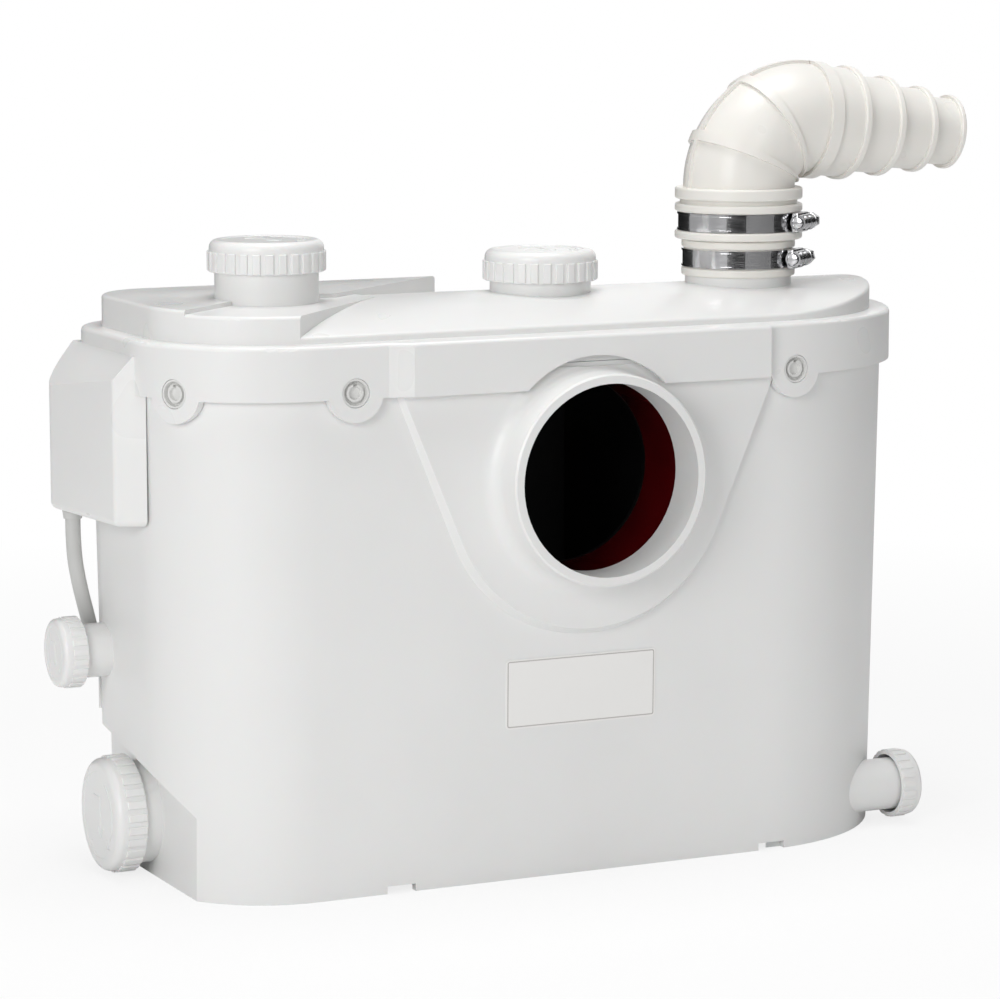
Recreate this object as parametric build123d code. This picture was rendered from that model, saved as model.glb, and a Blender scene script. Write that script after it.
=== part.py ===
from build123d import *
import os
from math import atan, cos, degrees, hypot, pi, radians, sin, sqrt, tan

# Macerator toilet pump. Millimetres. X runs along the tank, Y from front to back, Z up.
# The origin is the middle of the underside, on the face that rests on the floor.
# The inlet faces -Y, the discharge nozzle points to +X.

# Shared clearances
RUN_GAP = 0.3          # between curved faces of pieces that move past each other
FIT_GAP = 0.15         # between curved faces of pieces that stay together
SHAFT_GAP = 0.05       # radial play of a running shaft
OVERRUN = 2.0          # how far a cutting tool passes the face it cuts

# Tank
TANK_HALF_LENGTH = 218.0
TANK_FRONT = 80.5
TANK_BACK = 80.5
TANK_HEIGHT = 268.0
TANK_DRAFT = 4.2       # how far each wall leans out from base to rim
TANK_WALL = 3.5
FRONT_LEFT_RADIUS = 66.0
FRONT_RIGHT_RADIUS = 106.0
BACK_RADIUS = 36.0
BASE_RIM = 5.0         # height of the rim that stands on the floor
BASE_RIM_WALL = 4.5
FLOOR_THICKNESS = 4.0
BASE_RIB = 6.0
BASE_RIB_PITCH = 90.0
NOTCH_WIDTH = 16.0
NOTCH_HEIGHT = 4.0
NOTCH_LEFT = 105.0
NOTCH_RIGHT = 113.0

# Inlet collar and the raised panel around it
INLET_HEIGHT = 211.0
COLLAR_BORE_RADIUS = 50.0
COLLAR_WALL = 5.0
COLLAR_FRONT = 111.0   # distance of the collar's front face from the mid plane
COLLAR_BORE_DEPTH = 25.0
COLLAR_FLARE = 9.0
COLLAR_CHAMFER = 1.0
PANEL_FRONT = 88.5
PANEL_RADIUS = 80.0
PANEL_SPLAY = 23.0     # degrees from the vertical
PANEL_SIDE_DRAFT = 30.0
TONGUE_HALF_WIDTH = 97.0

# Lid
SKIRT_BOTTOM = 257.5
SKIRT_TOP = 285.0
SKIRT_WALL = 4.5
SKIRT_GAP = 0.4
SKIRT_EDGE_RADIUS = 2.5
PROUD_FRONT = 94.4     # the middle of the skirt stands forward over the panel
PROUD_LEFT = 103.0
PROUD_RIGHT = 102.0
PROUD_EASE = 12.0
PROUD_STEP = 2.0
SKIRT_ARCH_RADIUS = 56.0
SKIRT_ARCH_LIFT = 7.0  # the arch's centre above the inlet's
DOME_INSET = 11.0
DOME_CREST = 299.0
DOME_ARCH_RADIUS = 298.0
DOME_EDGE_RADIUS = 2.0
STEP_STAND = 0.1       # how far the raised areas' sides stand out from the arched top's side
EDGE_MATCH = 0.05      # how near an edge counts as lying on an outline
EDGE_TEST_SHARES = (0, 0.5, 1)
LID_WALL = 3.5
LID_SEAT_WIDTH = 7.0
PLATEAU_TOP = 299.3
PLATFORM_TOP = 301.5
GASKET_THICKNESS = 2.5
GASKET_INSET = 0.3

# Fixing lugs under the skirt, with their snap rivets
LUG_RADIUS = 15.0
LUG_HEIGHT = 260.5
LUG_HOLE_RADIUS = 7.5
RIVET_HEAD_RADIUS = 7.3
RIVET_HEAD = 3.4
RIVET_RECESS_RADIUS = 4.6
RIVET_RECESS = 1.6
RIVET_SLOT = 2.2
RIVET_SHANK_RADIUS = 3.4
RIVET_LENGTH = 13.0
RIVET_SINK = 0.6
LUG_FRONT_LEFT = -133.0
LUG_FRONT_RIGHT = 120.0
LUG_BACK = 140.0
LUG_RIGHT_END = 20.0
LUG_CORNER_TURN = 31.0  # degrees from the left end's outward line

# Hood over the mains connection, on the lid's left end
HOOD_BOTTOM = 190.0
HOOD_WALL = 3.0
HOOD_BACK = 65.0
HOOD_FRONT = -20.0
HOOD_OUTER_FRONT = 236.4
HOOD_OUTER_BACK = 245.4
HOOD_LEAN = 0.5        # forward lean of the front face for each length towards the wall
HOOD_SLOPE_LOW = 253.6
HOOD_SLOPE_HIGH = 277.0
HOOD_EDGE_RADIUS = 4.0
HOOD_FRONT_RADIUS = 3.0
HOOD_BACK_RADIUS = 12.0

# Large screw cap, used three times, and its neck
CAP_RADIUS = 30.8
CAP_HEIGHT = 16.5
CAP_BAND = 13.2
CAP_RIBS = 28
CAP_TOP = 3.0
CROWN_EDGE_RADIUS = 3.2
RIB_GROOVE = 0.9
RIB_GROOVE_WIDTH = 1.7
NECK_RADIUS = 27.0
NECK_WALL = 3.4
NECK_SEAT = 1.5        # how far a side neck stands into the tank
WASHER_THICKNESS = 2.0
WASHER_WIDTH = 4.4

# Small screw cap, used twice, and its neck
SMALL_CAP_RADIUS = 18.8
SMALL_CAP_HEIGHT = 13.0
SMALL_CAP_BAND = 10.4
SMALL_CAP_RIBS = 22
SMALL_CAP_TOP = 2.6
SMALL_CROWN_RADIUS = 2.4
SMALL_GROOVE = 0.7
SMALL_GROOVE_WIDTH = 1.4
SMALL_NECK_RADIUS = 14.2
SMALL_NECK_WALL = 2.6
SMALL_WASHER_WIDTH = 3.2

# Places of the ports
TOP_LEFT_PLACE = -144.0
TOP_LEFT_CAP_FOOT = 315.3
TOP_MIDDLE_PLACE = 13.5
TOP_MIDDLE_CAP_FOOT = 304.8
LEFT_LARGE_PORT = (22.0, 32.2)
LEFT_LARGE_CAP_FOOT = 215.8
LEFT_SMALL_PORT = (44.0, 115.5)
LEFT_SMALL_CAP_FOOT = 234.6
RIGHT_SMALL_PORT = (-48.0, 21.0)
RIGHT_SMALL_CAP_FOOT = 204.5

# Recess in the left end for the low port
RECESS_WALL_PLACE = 206.5
RECESS_ROOF = 56.0     # height of the roof at the port's own place
RECESS_SLOPE = 10.0    # degrees, falling to the front
RECESS_REACH = 40.0

# Outlet: neck, sleeve, check valve and elbow
OUTLET_PLACE = 134.3
OUTLET_COLLAR_RADIUS = 29.0
OUTLET_COLLAR_TOP = 303.0
OUTLET_TOP = 314.0
SPIGOT_RADIUS = 26.0
SPIGOT_WALL = 3.6
SPIGOT_WEB = 4.0
VALVE_TOP = 341.0
VALVE_SEAT_HEIGHT = 4.0
VALVE_SEAT_THICKNESS = 3.0
VALVE_SEAT_RADIUS = 14.5
VALVE_FLAP_RADIUS = 17.0
VALVE_FLAP_THICKNESS = 2.5
VALVE_PIN_RADIUS = 1.2
VALVE_EYE_RADIUS = 2.4
VALVE_EYE_LENGTH = 10.0
VALVE_HINGE_REACH = 19.0
SLEEVE_RADIUS = 29.5
SLEEVE_RIM_RADIUS = 31.0
SLEEVE_RIM = 4.6
RIM_EDGE_RADIUS = 1.2
SLEEVE_TOP = 322.8
CUFF_RADIUS = 32.0
CUFF_RIM_RADIUS = 34.8
CUFF_RIM = 4.4
CUFF_BAND = 10.4
CUFF_NECK = 2.4
ELBOW_RADIUS = 30.4
BEND_RADIUS = 36.0
BEND_HEIGHT = 351.0
NOZZLE_DROOP = 5.5     # degrees below the horizontal
RIB_WIDTH = 3.2
RIB_HEIGHT = 1.7
ELBOW_RIB_ANGLES = (25.0, 60.0)
END_RIB_PLACE = 1.0    # the broad rib where the bend runs into the nozzle
END_RIB_WIDTH = 7.0
NOZZLE_RADII = (30.0, 26.3, 22.5, 18.6)
NOZZLE_LENGTHS = (26.6, 24.3, 23.3, 20.0)
BEAD_LENGTH = 4.0
BEAD_HEIGHT = 1.4
FLANGE_HEIGHT = 2.0
FLANGE_LENGTH = 2.6
NOZZLE_WALL = 2.6

# Hose clamps
BAND_THICKNESS = 0.8
BAND_WIDTH = 9.6
CLAMP_TURN = -50.0     # degrees from +X, where the screw housing sits
HOUSING_LENGTH = 17.0
HOUSING_WALL = 1.0
SCREW_RADIUS = 3.0
SCREW_TAIL = 1.5
SCREW_HEAD_RADIUS = 4.2
SCREW_HEAD = 6.5
SCREW_SLOT = 1.2
TAIL_TURN = 75.0       # degrees of band that overlap beyond the housing
BAND_SLOT = 1.6
SLOT_LEAN = 8.0

# Motor, cutter and pump, all on one upright shaft
SHAFT_X = -125.0
SHAFT_Y = 8.0
SHAFT_RADIUS = 8.0
TAIL_RADIUS = 6.0
SHAFT_BOTTOM = 15.0
SHAFT_TOP = 243.0
MOTOR_RADIUS = 50.0
MOTOR_WALL = 2.5
MOTOR_BOTTOM = 143.0
MOTOR_TOP = 240.0
MOTOR_COVER = 10.0
BEARING_RADIUS = 16.0
BEARING_HEIGHT = 9.0
BEARING_GROOVE = 1.0
BOSS_WALL = 2.0
STATOR_BOTTOM = 168.0
STATOR_TOP = 222.0
STATOR_BORE = 26.0
STATOR_SLOTS = 12
SLOT_MIDDLE = 35.5
SLOT_DEPTH = 11.0
SLOT_WIDTH = 7.0
ROTOR_GAP = 0.5
WINDING_HEIGHT = 9.0
SEAL_HEIGHT = 8.0
SEAL_RADIUS = 12.0
CUTTER_BOTTOM = 56.0
CUTTER_THICKNESS = 3.0
CUTTER_REACH = 46.0
CUTTER_HUB_RADIUS = 11.0
CUTTER_TOP = 65.0
CUTTER_BLADE_WIDTH = 12.0
CUTTER_BLADES = 4
IMPELLER_BOTTOM = 22.0
IMPELLER_RADIUS = 42.0
IMPELLER_DISC = 3.0
IMPELLER_VANE = 9.0
IMPELLER_VANES = 6
VANE_THICKNESS = 3.0
NUT_FLATS = 16.0
NUT_HEIGHT = 5.0

# Volute and basket
VOLUTE_RADIUS = 55.0
VOLUTE_WALL = 4.0
VOLUTE_FLOOR = 4.0
VOLUTE_TOP = 48.0
VOLUTE_EYE_RADIUS = 18.0
VOLUTE_COVER = 4.0
BASKET_RADIUS = 60.0
BASKET_RIGHT = 0.0     # centre of the basket's right end
BASKET_WALL = 3.0
BASKET_TOP = 140.0
BASKET_SLOTS = 14
BASKET_SLOT_WIDTH = 4.0
BASKET_SLOT_LENGTH = 60.0
BASKET_FOOT_RADIUS = 5.0
BASKET_FOOT_TURNS = (20.0, 80.0)
CHUTE_HALF_WIDTH = 57.0
CHUTE_FRONT = -52.0
CHUTE_BACK = 55.0
CHUTE_TOP = 266.0
CHUTE_WALL = 3.0
COVER_PLATE = 3.0
LINING_WALL = 3.0
LINING_LENGTH = 34.0

# Discharge pipe
PIPE_RADIUS = 16.0
PIPE_WALL = 3.0
PIPE_HEIGHT = 29.0
PIPE_OFFSET = 38.0     # sideways place of the volute's outlet from the shaft
PIPE_BEND = 36.0
STUB_LENGTH = 62.0
SOCKET_RADIUS = 18.4
SOCKET_LENGTH = 14.0
SOCKET_WALL = 3.0

# Pressure bell, diaphragm and switch
BELL_PLACE = (86.0, 45.0)
BELL_RADIUS = 17.0
BELL_WALL = 2.5
BELL_BOTTOM = 16.0
BELL_TOP = 170.0
BELL_FEET = 3
BELL_FOOT_WIDTH = 8.0
BELL_FLANGE_RADIUS = 24.0
BELL_FLANGE = 4.0
DIAPHRAGM_THICKNESS = 1.5
SWITCH_LENGTH = 44.0
SWITCH_DEPTH = 34.0
SWITCH_HEIGHT = 30.0
SWITCH_WELL = 8.0
PLUNGER_RADIUS = 4.0
PLUNGER_LENGTH = 10.0
PLUNGER_HEAD_RADIUS = 8.0
PLUNGER_HEAD = 2.0
PLUNGER_TRAVEL = 2.5

# Capacitor, strapped to the motor's side
CAPACITOR_RADIUS = 14.0
CAPACITOR_LENGTH = 58.0
CAPACITOR_BOTTOM = 200.0
CAPACITOR_TURN = 129.0
STRAP_WALL = 1.5
STRAP_HEIGHT = 8.0

# Check flaps behind the side ports
FLAP_THICKNESS = 2.5
FLAP_LAP = 3.0
FLAP_EAR = 4.0
HINGE_PIN_RADIUS = 1.5
FLAP_EYE_LENGTH = 8.0
FLAP_PIN_SET = 3.3      # from a neck's inner mouth to the pin
BRACKET_WIDTH = 3.0

# Mains lead, strain relief and terminals
LEAD_RADIUS = 4.0
LEAD_EXIT = (-233.5, 51.5)
RELIEF_LENGTH = 24.0
RELIEF_SHOWS = 5.0
RELIEF_FOOT_RADIUS = 4.8
RELIEF_SHANK_RADIUS = 5.6
RELIEF_HEAD_RADIUS = 6.4
RELIEF_FLANGE_RADIUS = 7.4
RELIEF_FLANGE = 3.0
TERMINAL_LENGTH = 40.0
TERMINAL_DEPTH = 10.0
TERMINAL_HEIGHT = 34.0
TERMINAL_BOTTOM = 214.0
TERMINAL_PLACE = 13.0
TERMINAL_WAYS = 4
BEND_SHARE = 0.45      # share of the shorter run that a bend of the lead may take
LEAD_POINTS = (
    (-233.5, 51.5, 185.0), (-233.5, 51.5, 168.0), (-230.0, 53.5, 150.0), (-222.5, 60.8, 129.0),
    (-211.0, 79.0, 104.0), (-197.0, 90.5, 80.0), (-184.0, 99.0, 56.0), (-171.0, 106.0, 34.0),
    (-155.0, 111.0, 17.0), (-131.0, 108.5, 8.0), (-100.0, 103.0, 5.6), (-68.0, 103.0, 5.6),
)

# Put-away coil of the lead, its tie and the plug
COIL_CENTRE = (-60.0, 155.6)
COIL_INNER_RADIUS = 37.0
COIL_PITCH = 10.4
COIL_LAYER = 8.9
COIL_START = 8.0
COIL_TAIL = 48.0
TIE_WIDTH = 6.0
TIE_WALL = 1.2
TIE_GAP = 0.4
PLUG_LENGTH = 40.0
PLUG_WIDTH = 37.0
PLUG_NOSE = 14.0
PLUG_GRIP = 16.0
PLUG_CORNER = 6.0
NOSE_WALL = 2.0
PIN_RADIUS = 2.4
PIN_LENGTH = 19.0
PIN_SPACING = 19.0

# Front label
LABEL_WIDTH = 87.0
LABEL_HEIGHT = 36.5
LABEL_THICKNESS = 0.4
LABEL_CORNER = 2.0
LABEL_PLACE = (-3.0, 98.4)

# Small ribs on the left wall, under the small port
WALL_RIBS = 3
WALL_RIB_FIRST = 55.0
WALL_RIB_PITCH = 5.0
WALL_RIB_LENGTH = 16.0
WALL_RIB_TOP = 98.0
WALL_RIB_WIDTH = 1.4
WALL_RIB_HEIGHT = 1.2

# The lid's two raised areas, as corners in shares of the tank's half length and half depth
PLATEAU_CORNER_SHARES = (
    (-1.38, -1.49), (-0.908, -1.49), (-0.404, -0.062), (-0.381, 0), (-0.459, 1.24), (-1.38, 1.24))
PLATFORM_CORNER_SHARES = (
    (-1.101, -0.932), (-0.661, 0.112), (-0.55, 0.112), (-0.472, 0.062),
    (-0.055, 0.981), (-0.055, 1.242), (-1.101, 1.242))

# Sizes that follow from the ones above
FLOOR_TOP = BASE_RIM + FLOOR_THICKNESS
PANEL_DEPTH = PANEL_FRONT - TANK_FRONT + TANK_WALL
LID_SEAT = TANK_HEIGHT + GASKET_THICKNESS
SKIRT_GROWTH = TANK_DRAFT + SKIRT_GAP + SKIRT_WALL
SKIRT_END = TANK_HALF_LENGTH + SKIRT_GROWTH
LINING_OUTER = COLLAR_BORE_RADIUS + LINING_WALL
WEB_BOTTOM = SKIRT_TOP - SPIGOT_WEB
VALVE_SEAT = OUTLET_TOP + VALVE_SEAT_HEIGHT
VALVE_HINGE = VALVE_SEAT + VALVE_SEAT_THICKNESS + RUN_GAP + VALVE_EYE_RADIUS
CUFF_FOOT = SLEEVE_TOP + RUN_GAP
BEND_TURN = 90.0 + NOZZLE_DROOP
COIL_HEIGHT = LEAD_RADIUS + TIE_WALL + TIE_GAP
NECK_ABOVE_FOOT = CAP_HEIGHT - CAP_TOP - WASHER_THICKNESS
SMALL_NECK_ABOVE_FOOT = SMALL_CAP_HEIGHT - SMALL_CAP_TOP - WASHER_THICKNESS
TOP_PORTS = (
    (TOP_LEFT_PLACE, 0, TOP_LEFT_CAP_FOOT + NECK_ABOVE_FOOT),
    (TOP_MIDDLE_PLACE, 0, TOP_MIDDLE_CAP_FOOT + NECK_ABOVE_FOOT))
SLEEVE_ZONE = SLEEVE_TOP - OUTLET_COLLAR_TOP - 2 * SLEEVE_RIM
CLAMPS = (
    ("lower", SLEEVE_RADIUS + FIT_GAP, OUTLET_COLLAR_TOP + SLEEVE_RIM + (SLEEVE_ZONE - BAND_WIDTH) / 2),
    ("upper", CUFF_RADIUS + FIT_GAP, CUFF_FOOT + CUFF_RIM + (CUFF_BAND - BAND_WIDTH) / 2))


def wall_growth(height):
    """How far the tank's walls have leaned out at a height."""
    return TANK_DRAFT * height / TANK_HEIGHT


def plan_face(growth, height):
    """The tank's outline seen from above, grown outwards, as a face at a height."""
    left, right = -TANK_HALF_LENGTH - growth, TANK_HALF_LENGTH + growth
    front, back = -TANK_FRONT - growth, TANK_BACK + growth
    corners = [
        (left, front, 1, 1, FRONT_LEFT_RADIUS + growth),
        (right, front, -1, 1, FRONT_RIGHT_RADIUS + growth),
        (right, back, -1, -1, BACK_RADIUS + growth),
        (left, back, 1, -1, BACK_RADIUS + growth),
    ]
    arcs = []
    for index, (x, y, to_x, to_y, radius) in enumerate(corners):
        along_x = (x + to_x * radius, y, height)
        along_y = (x, y + to_y * radius, height)
        bulge = radius * (1 - cos(radians(45)))
        middle = (x + to_x * bulge, y + to_y * bulge, height)
        first, last = (along_y, along_x) if index % 2 == 0 else (along_x, along_y)
        arcs.append(ThreePointArc(first, middle, last))
    edges = []
    for index, arc in enumerate(arcs):
        edges += [arc, Line(arc @ 1, arcs[(index + 1) % len(arcs)] @ 0)]
    return make_face(edges)


def slab(growth, low, high):
    """An upright block with the tank's outline."""
    return extrude(plan_face(growth, low), amount=high - low, dir=(0, 0, 1))


def rod(radius, length):
    """A round bar standing on the XY plane."""
    return Cylinder(radius, length, align=(Align.CENTER, Align.CENTER, Align.MIN))


def tube(outer, inner, length):
    """A round tube standing on the XY plane."""
    return extrude(Circle(outer) - Circle(inner), amount=length)


def block(size_x, size_y, size_z):
    """A block centred on X and Y that stands on the XY plane."""
    return Box(size_x, size_y, size_z, align=(Align.CENTER, Align.CENTER, Align.MIN))


def turned(points):
    """A solid of revolution about Z from the corners of its half section."""
    return revolve(Plane.XZ * make_face(Polyline(*points, close=True)), Axis.Z)


def outwards(side, y, z):
    """A frame whose Z points out of the left (-1) or right (+1) end, on a port's line."""
    return Plane(origin=(0, y, z), x_dir=(0, side, 0), z_dir=(side, 0, 0))


def to_front(x, z, distance):
    """A frame whose Z points out of the front, a distance in front of the mid plane."""
    return Plane(origin=(x, -distance, z), x_dir=(1, 0, 0), z_dir=(0, -1, 0))


def panel_half_width(growth, rise):
    """Half width of the raised panel at a height above the inlet's centre."""
    turn = radians(PANEL_SPLAY)
    return (PANEL_RADIUS + growth + sin(turn) * rise) / cos(turn)


def panel_face(growth, distance):
    """Outline of the raised panel: a round boss whose splayed sides end under the lid's skirt."""
    radius = PANEL_RADIUS + growth
    turn = radians(PANEL_SPLAY)
    rise = SKIRT_BOTTOM - RUN_GAP - INLET_HEIGHT
    top_x = panel_half_width(growth, rise)
    side_x, side_z = radius * cos(turn), -radius * sin(turn)
    outline = [
        Line((-top_x, rise), (top_x, rise)),
        Line((top_x, rise), (side_x, side_z)),
        ThreePointArc((side_x, side_z), (0, -radius), (-side_x, side_z)),
        Line((-side_x, side_z), (-top_x, rise)),
    ]
    return to_front(0, INLET_HEIGHT, distance) * make_face(outline)


def raised_panel(growth):
    """The raised panel's block with drafted sides, grown on its sides and front."""
    back = panel_face(growth + PANEL_DEPTH * tan(radians(PANEL_SIDE_DRAFT)), PANEL_FRONT - PANEL_DEPTH)
    return loft([back, panel_face(growth, PANEL_FRONT + growth)], ruled=True)


def front_panel():
    """The raised panel, and the tongue that goes up behind the skirt, with a lip before the gasket."""
    turn = radians(PANEL_SPLAY)
    low = INLET_HEIGHT + (TONGUE_HALF_WIDTH * cos(turn) - PANEL_RADIUS) / sin(turn)
    tongue = block(2 * TONGUE_HALF_WIDTH, PANEL_DEPTH, TANK_HEIGHT - low)
    lip_depth = PANEL_FRONT - TANK_FRONT - TANK_DRAFT - GASKET_INSET
    lip = block(2 * TONGUE_HALF_WIDTH, lip_depth, GASKET_THICKNESS - RUN_GAP)
    panel = raised_panel(0) + Pos(0, -PANEL_FRONT + PANEL_DEPTH / 2, low) * tongue
    return panel + Pos(0, -PANEL_FRONT + lip_depth / 2, TANK_HEIGHT) * lip


def collar():
    """The inlet collar, flared where it meets the panel."""
    outer = COLLAR_BORE_RADIUS + COLLAR_WALL
    knee = COLLAR_FLARE * (1 - cos(radians(45)))
    flare_start = PANEL_FRONT + COLLAR_FLARE
    foot = TANK_FRONT - TANK_WALL
    curve = ThreePointArc(
        (outer, flare_start), (outer + knee, PANEL_FRONT + knee), (outer + COLLAR_FLARE, PANEL_FRONT))
    outline = [
        Line((0, foot), (0, COLLAR_FRONT)),
        Line((0, COLLAR_FRONT), (outer - COLLAR_CHAMFER, COLLAR_FRONT)),
        Line((outer - COLLAR_CHAMFER, COLLAR_FRONT), (outer, COLLAR_FRONT - COLLAR_CHAMFER)),
        Line((outer, COLLAR_FRONT - COLLAR_CHAMFER), (outer, flare_start)),
        curve,
        Line((outer + COLLAR_FLARE, PANEL_FRONT), (outer + COLLAR_FLARE, foot)),
        Line((outer + COLLAR_FLARE, foot), (0, foot)),
    ]
    solid = revolve(Plane.XZ * make_face(outline), Axis.Z)
    below_rim = Pos(0, 0, TANK_HEIGHT - 2 * COLLAR_FRONT) * block(
        2 * COLLAR_FRONT, 3 * COLLAR_FRONT, 2 * COLLAR_FRONT)
    return (to_front(0, INLET_HEIGHT, 0) * solid) & below_rim


def inlet_rod(radius, start, end):
    """A round bar on the inlet's line, between two distances in front of the mid plane."""
    return to_front(0, INLET_HEIGHT, start) * rod(radius, end - start)


def base_ribs():
    """Stiffening ribs under the floor; the middle one holds the part's origin."""
    ribs = block(2 * TANK_HALF_LENGTH, BASE_RIB, BASE_RIM)
    count = int(TANK_HALF_LENGTH // BASE_RIB_PITCH)
    for step in range(-count, count + 1):
        ribs += Pos(step * BASE_RIB_PITCH, 0, 0) * block(BASE_RIB, TANK_FRONT + TANK_BACK, BASE_RIM)
    return ribs


def recess_tool(shrink):
    """The block cut out of the left end; shrink moves its wall and roof inwards for the inside."""
    wall = -RECESS_WALL_PLACE + shrink
    roof = RECESS_ROOF + shrink
    out = wall - RECESS_REACH
    outline = Polyline(
        (wall, -RECESS_REACH), (wall, roof), (out, roof + RECESS_REACH), (out, -RECESS_REACH), close=True)
    tool = extrude(Plane.XZ * make_face(outline), amount=2 * TANK_FRONT, both=True)
    y, z = LEFT_LARGE_PORT
    return Pos(0, y, z) * Rot(RECESS_SLOPE, 0, 0) * Pos(0, -y, -z) * tool


def end_wall_place(side, y, z, inset=0):
    """Distance of the tank's end wall from the middle at a height and depth, or of its inside."""
    growth = wall_growth(z) - inset
    end = TANK_HALF_LENGTH + growth
    front_radius = (FRONT_RIGHT_RADIUS if side > 0 else FRONT_LEFT_RADIUS) + growth
    back_radius = BACK_RADIUS + growth
    front_turn = -TANK_FRONT - growth + front_radius
    back_turn = TANK_BACK + growth - back_radius
    if y < front_turn:
        return end - front_radius + sqrt(front_radius ** 2 - (front_turn - y) ** 2)
    if y > back_turn:
        return end - back_radius + sqrt(back_radius ** 2 - (y - back_turn) ** 2)
    return end


class SidePort:
    """One side port: its line, the wall it leaves and where its cap and neck end."""

    def __init__(self, name, side, place, foot, large):
        self.name = name
        self.side = side
        self.y, self.z = place
        self.foot = foot
        self.large = large
        self.neck_radius = NECK_RADIUS if large else SMALL_NECK_RADIUS
        self.neck_wall = NECK_WALL if large else SMALL_NECK_WALL
        self.mouth = foot + (NECK_ABOVE_FOOT if large else SMALL_NECK_ABOVE_FOOT)
        self.wall = RECESS_WALL_PLACE if large else end_wall_place(side, *place)


SIDE_PORTS = (
    SidePort("left_large", -1, LEFT_LARGE_PORT, LEFT_LARGE_CAP_FOOT, True),
    SidePort("left_small", -1, LEFT_SMALL_PORT, LEFT_SMALL_CAP_FOOT, False),
    SidePort("right_small", 1, RIGHT_SMALL_PORT, RIGHT_SMALL_CAP_FOOT, False))


def port_root(port):
    """Distance from the middle to the flat inner mouth of a side port's neck."""
    places = [port.wall - TANK_WALL]
    reach = port.neck_radius + FLAP_LAP
    for y in (port.y - reach, port.y + reach):
        places.append(end_wall_place(port.side, y, port.z - port.neck_radius, TANK_WALL))
    return min(places) - NECK_SEAT


def hinge_height(port):
    """Height of a side flap's pin above the line of its port."""
    return port.neck_radius + FLAP_EAR


def inside_frame(port):
    """A frame on a side neck's inner mouth: X along the hinge, Y up, Z into the tank."""
    return Plane(
        origin=(port.side * port_root(port), port.y, port.z),
        x_dir=(0, -port.side, 0), z_dir=(-port.side, 0, 0))


def hinge_brackets(port):
    """The two moulded cheeks inside the tank that carry a side flap's pin."""
    inner = FLAP_EYE_LENGTH / 2 + RUN_GAP
    depth = port.wall - port_root(port) + FLAP_PIN_SET
    cheek = Box(BRACKET_WIDTH, 2 * FLAP_EAR, depth, align=(Align.MIN, Align.CENTER, Align.MAX))
    cheek += Pos(BRACKET_WIDTH / 2, 0, 0) * Rot(0, 90, 0) * Cylinder(FLAP_EAR, BRACKET_WIDTH)
    cheek = Pos(inner, 0, 0) * cheek
    cheeks = cheek + mirror(cheek, Plane.YZ)
    cheeks -= Rot(0, 90, 0) * Cylinder(HINGE_PIN_RADIUS + SHAFT_GAP, 4 * FLAP_EYE_LENGTH)
    cheeks = Pos(0, hinge_height(port), FLAP_PIN_SET) * cheeks
    inside = slab(wall_growth(port.z) - TANK_WALL / 2, FLOOR_TOP, TANK_HEIGHT) - recess_tool(TANK_WALL / 2)
    return (inside_frame(port) * cheeks) & inside


def side_flap(port):
    """The rubber check flap behind a side port, with the pin it hangs on."""
    height = hinge_height(port)
    radius = port.neck_radius - port.neck_wall + FLAP_LAP
    reach = port.z - FLOOR_TOP - RUN_GAP
    plate = Pos(0, 0, RUN_GAP) * rod(radius, FLAP_THICKNESS)
    strap = Box(FLAP_EYE_LENGTH, height, FLAP_THICKNESS, align=(Align.CENTER, Align.MIN, Align.MIN))
    plate += Pos(0, 0, RUN_GAP) * strap
    below = Box(4 * radius, 2 * radius, 4 * radius, align=(Align.CENTER, Align.MAX, Align.CENTER))
    plate -= Pos(0, -reach, 0) * below
    eye = Pos(0, height, FLAP_PIN_SET) * Rot(0, 90, 0) * Cylinder(FLAP_PIN_SET - RUN_GAP, FLAP_EYE_LENGTH)
    pin_length = FLAP_EYE_LENGTH + 2 * (RUN_GAP + BRACKET_WIDTH)
    pin = Pos(0, height, FLAP_PIN_SET) * Rot(0, 90, 0) * Cylinder(HINGE_PIN_RADIUS, pin_length)
    return inside_frame(port) * (plate + eye + pin)


def corner_spot(centre_x, centre_y, radius, normal_x, normal_y):
    """A frame at the lugs' height on a rounded corner of the skirt, Z pointing outwards."""
    x = centre_x + radius * normal_x
    y = centre_y + radius * normal_y
    return Plane(origin=(x, y, LUG_HEIGHT), x_dir=(-normal_y, normal_x, 0), z_dir=(normal_x, normal_y, 0))


def lug_spots():
    """Frames on the skirt's outer face at each lug, Z pointing outwards."""
    growth = SKIRT_GROWTH
    left = -TANK_HALF_LENGTH + FRONT_LEFT_RADIUS
    right = TANK_HALF_LENGTH - FRONT_RIGHT_RADIUS
    turn = radians(LUG_CORNER_TURN)
    lean = (LUG_FRONT_RIGHT - right) / (FRONT_RIGHT_RADIUS + growth)
    rise = sqrt(1 - lean ** 2)
    return [
        corner_spot(left, -TANK_FRONT + FRONT_LEFT_RADIUS, FRONT_LEFT_RADIUS + growth, -cos(turn), -sin(turn)),
        corner_spot(LUG_FRONT_LEFT, 0, TANK_FRONT + growth, 0, -1),
        corner_spot(right, -TANK_FRONT + FRONT_RIGHT_RADIUS, FRONT_RIGHT_RADIUS + growth, lean, -rise),
        corner_spot(-LUG_BACK, 0, TANK_BACK + growth, 0, 1),
        corner_spot(LUG_BACK, 0, TANK_BACK + growth, 0, 1),
        corner_spot(0, LUG_RIGHT_END, TANK_HALF_LENGTH + growth, 1, 0),
    ]


def wall_rib(place):
    """One short upright rib on the left wall."""
    middle = WALL_RIB_TOP - WALL_RIB_LENGTH / 2
    x = -end_wall_place(-1, place, middle)
    return Pos(x, place, middle) * Box(2 * WALL_RIB_HEIGHT, WALL_RIB_WIDTH, WALL_RIB_LENGTH)


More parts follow.
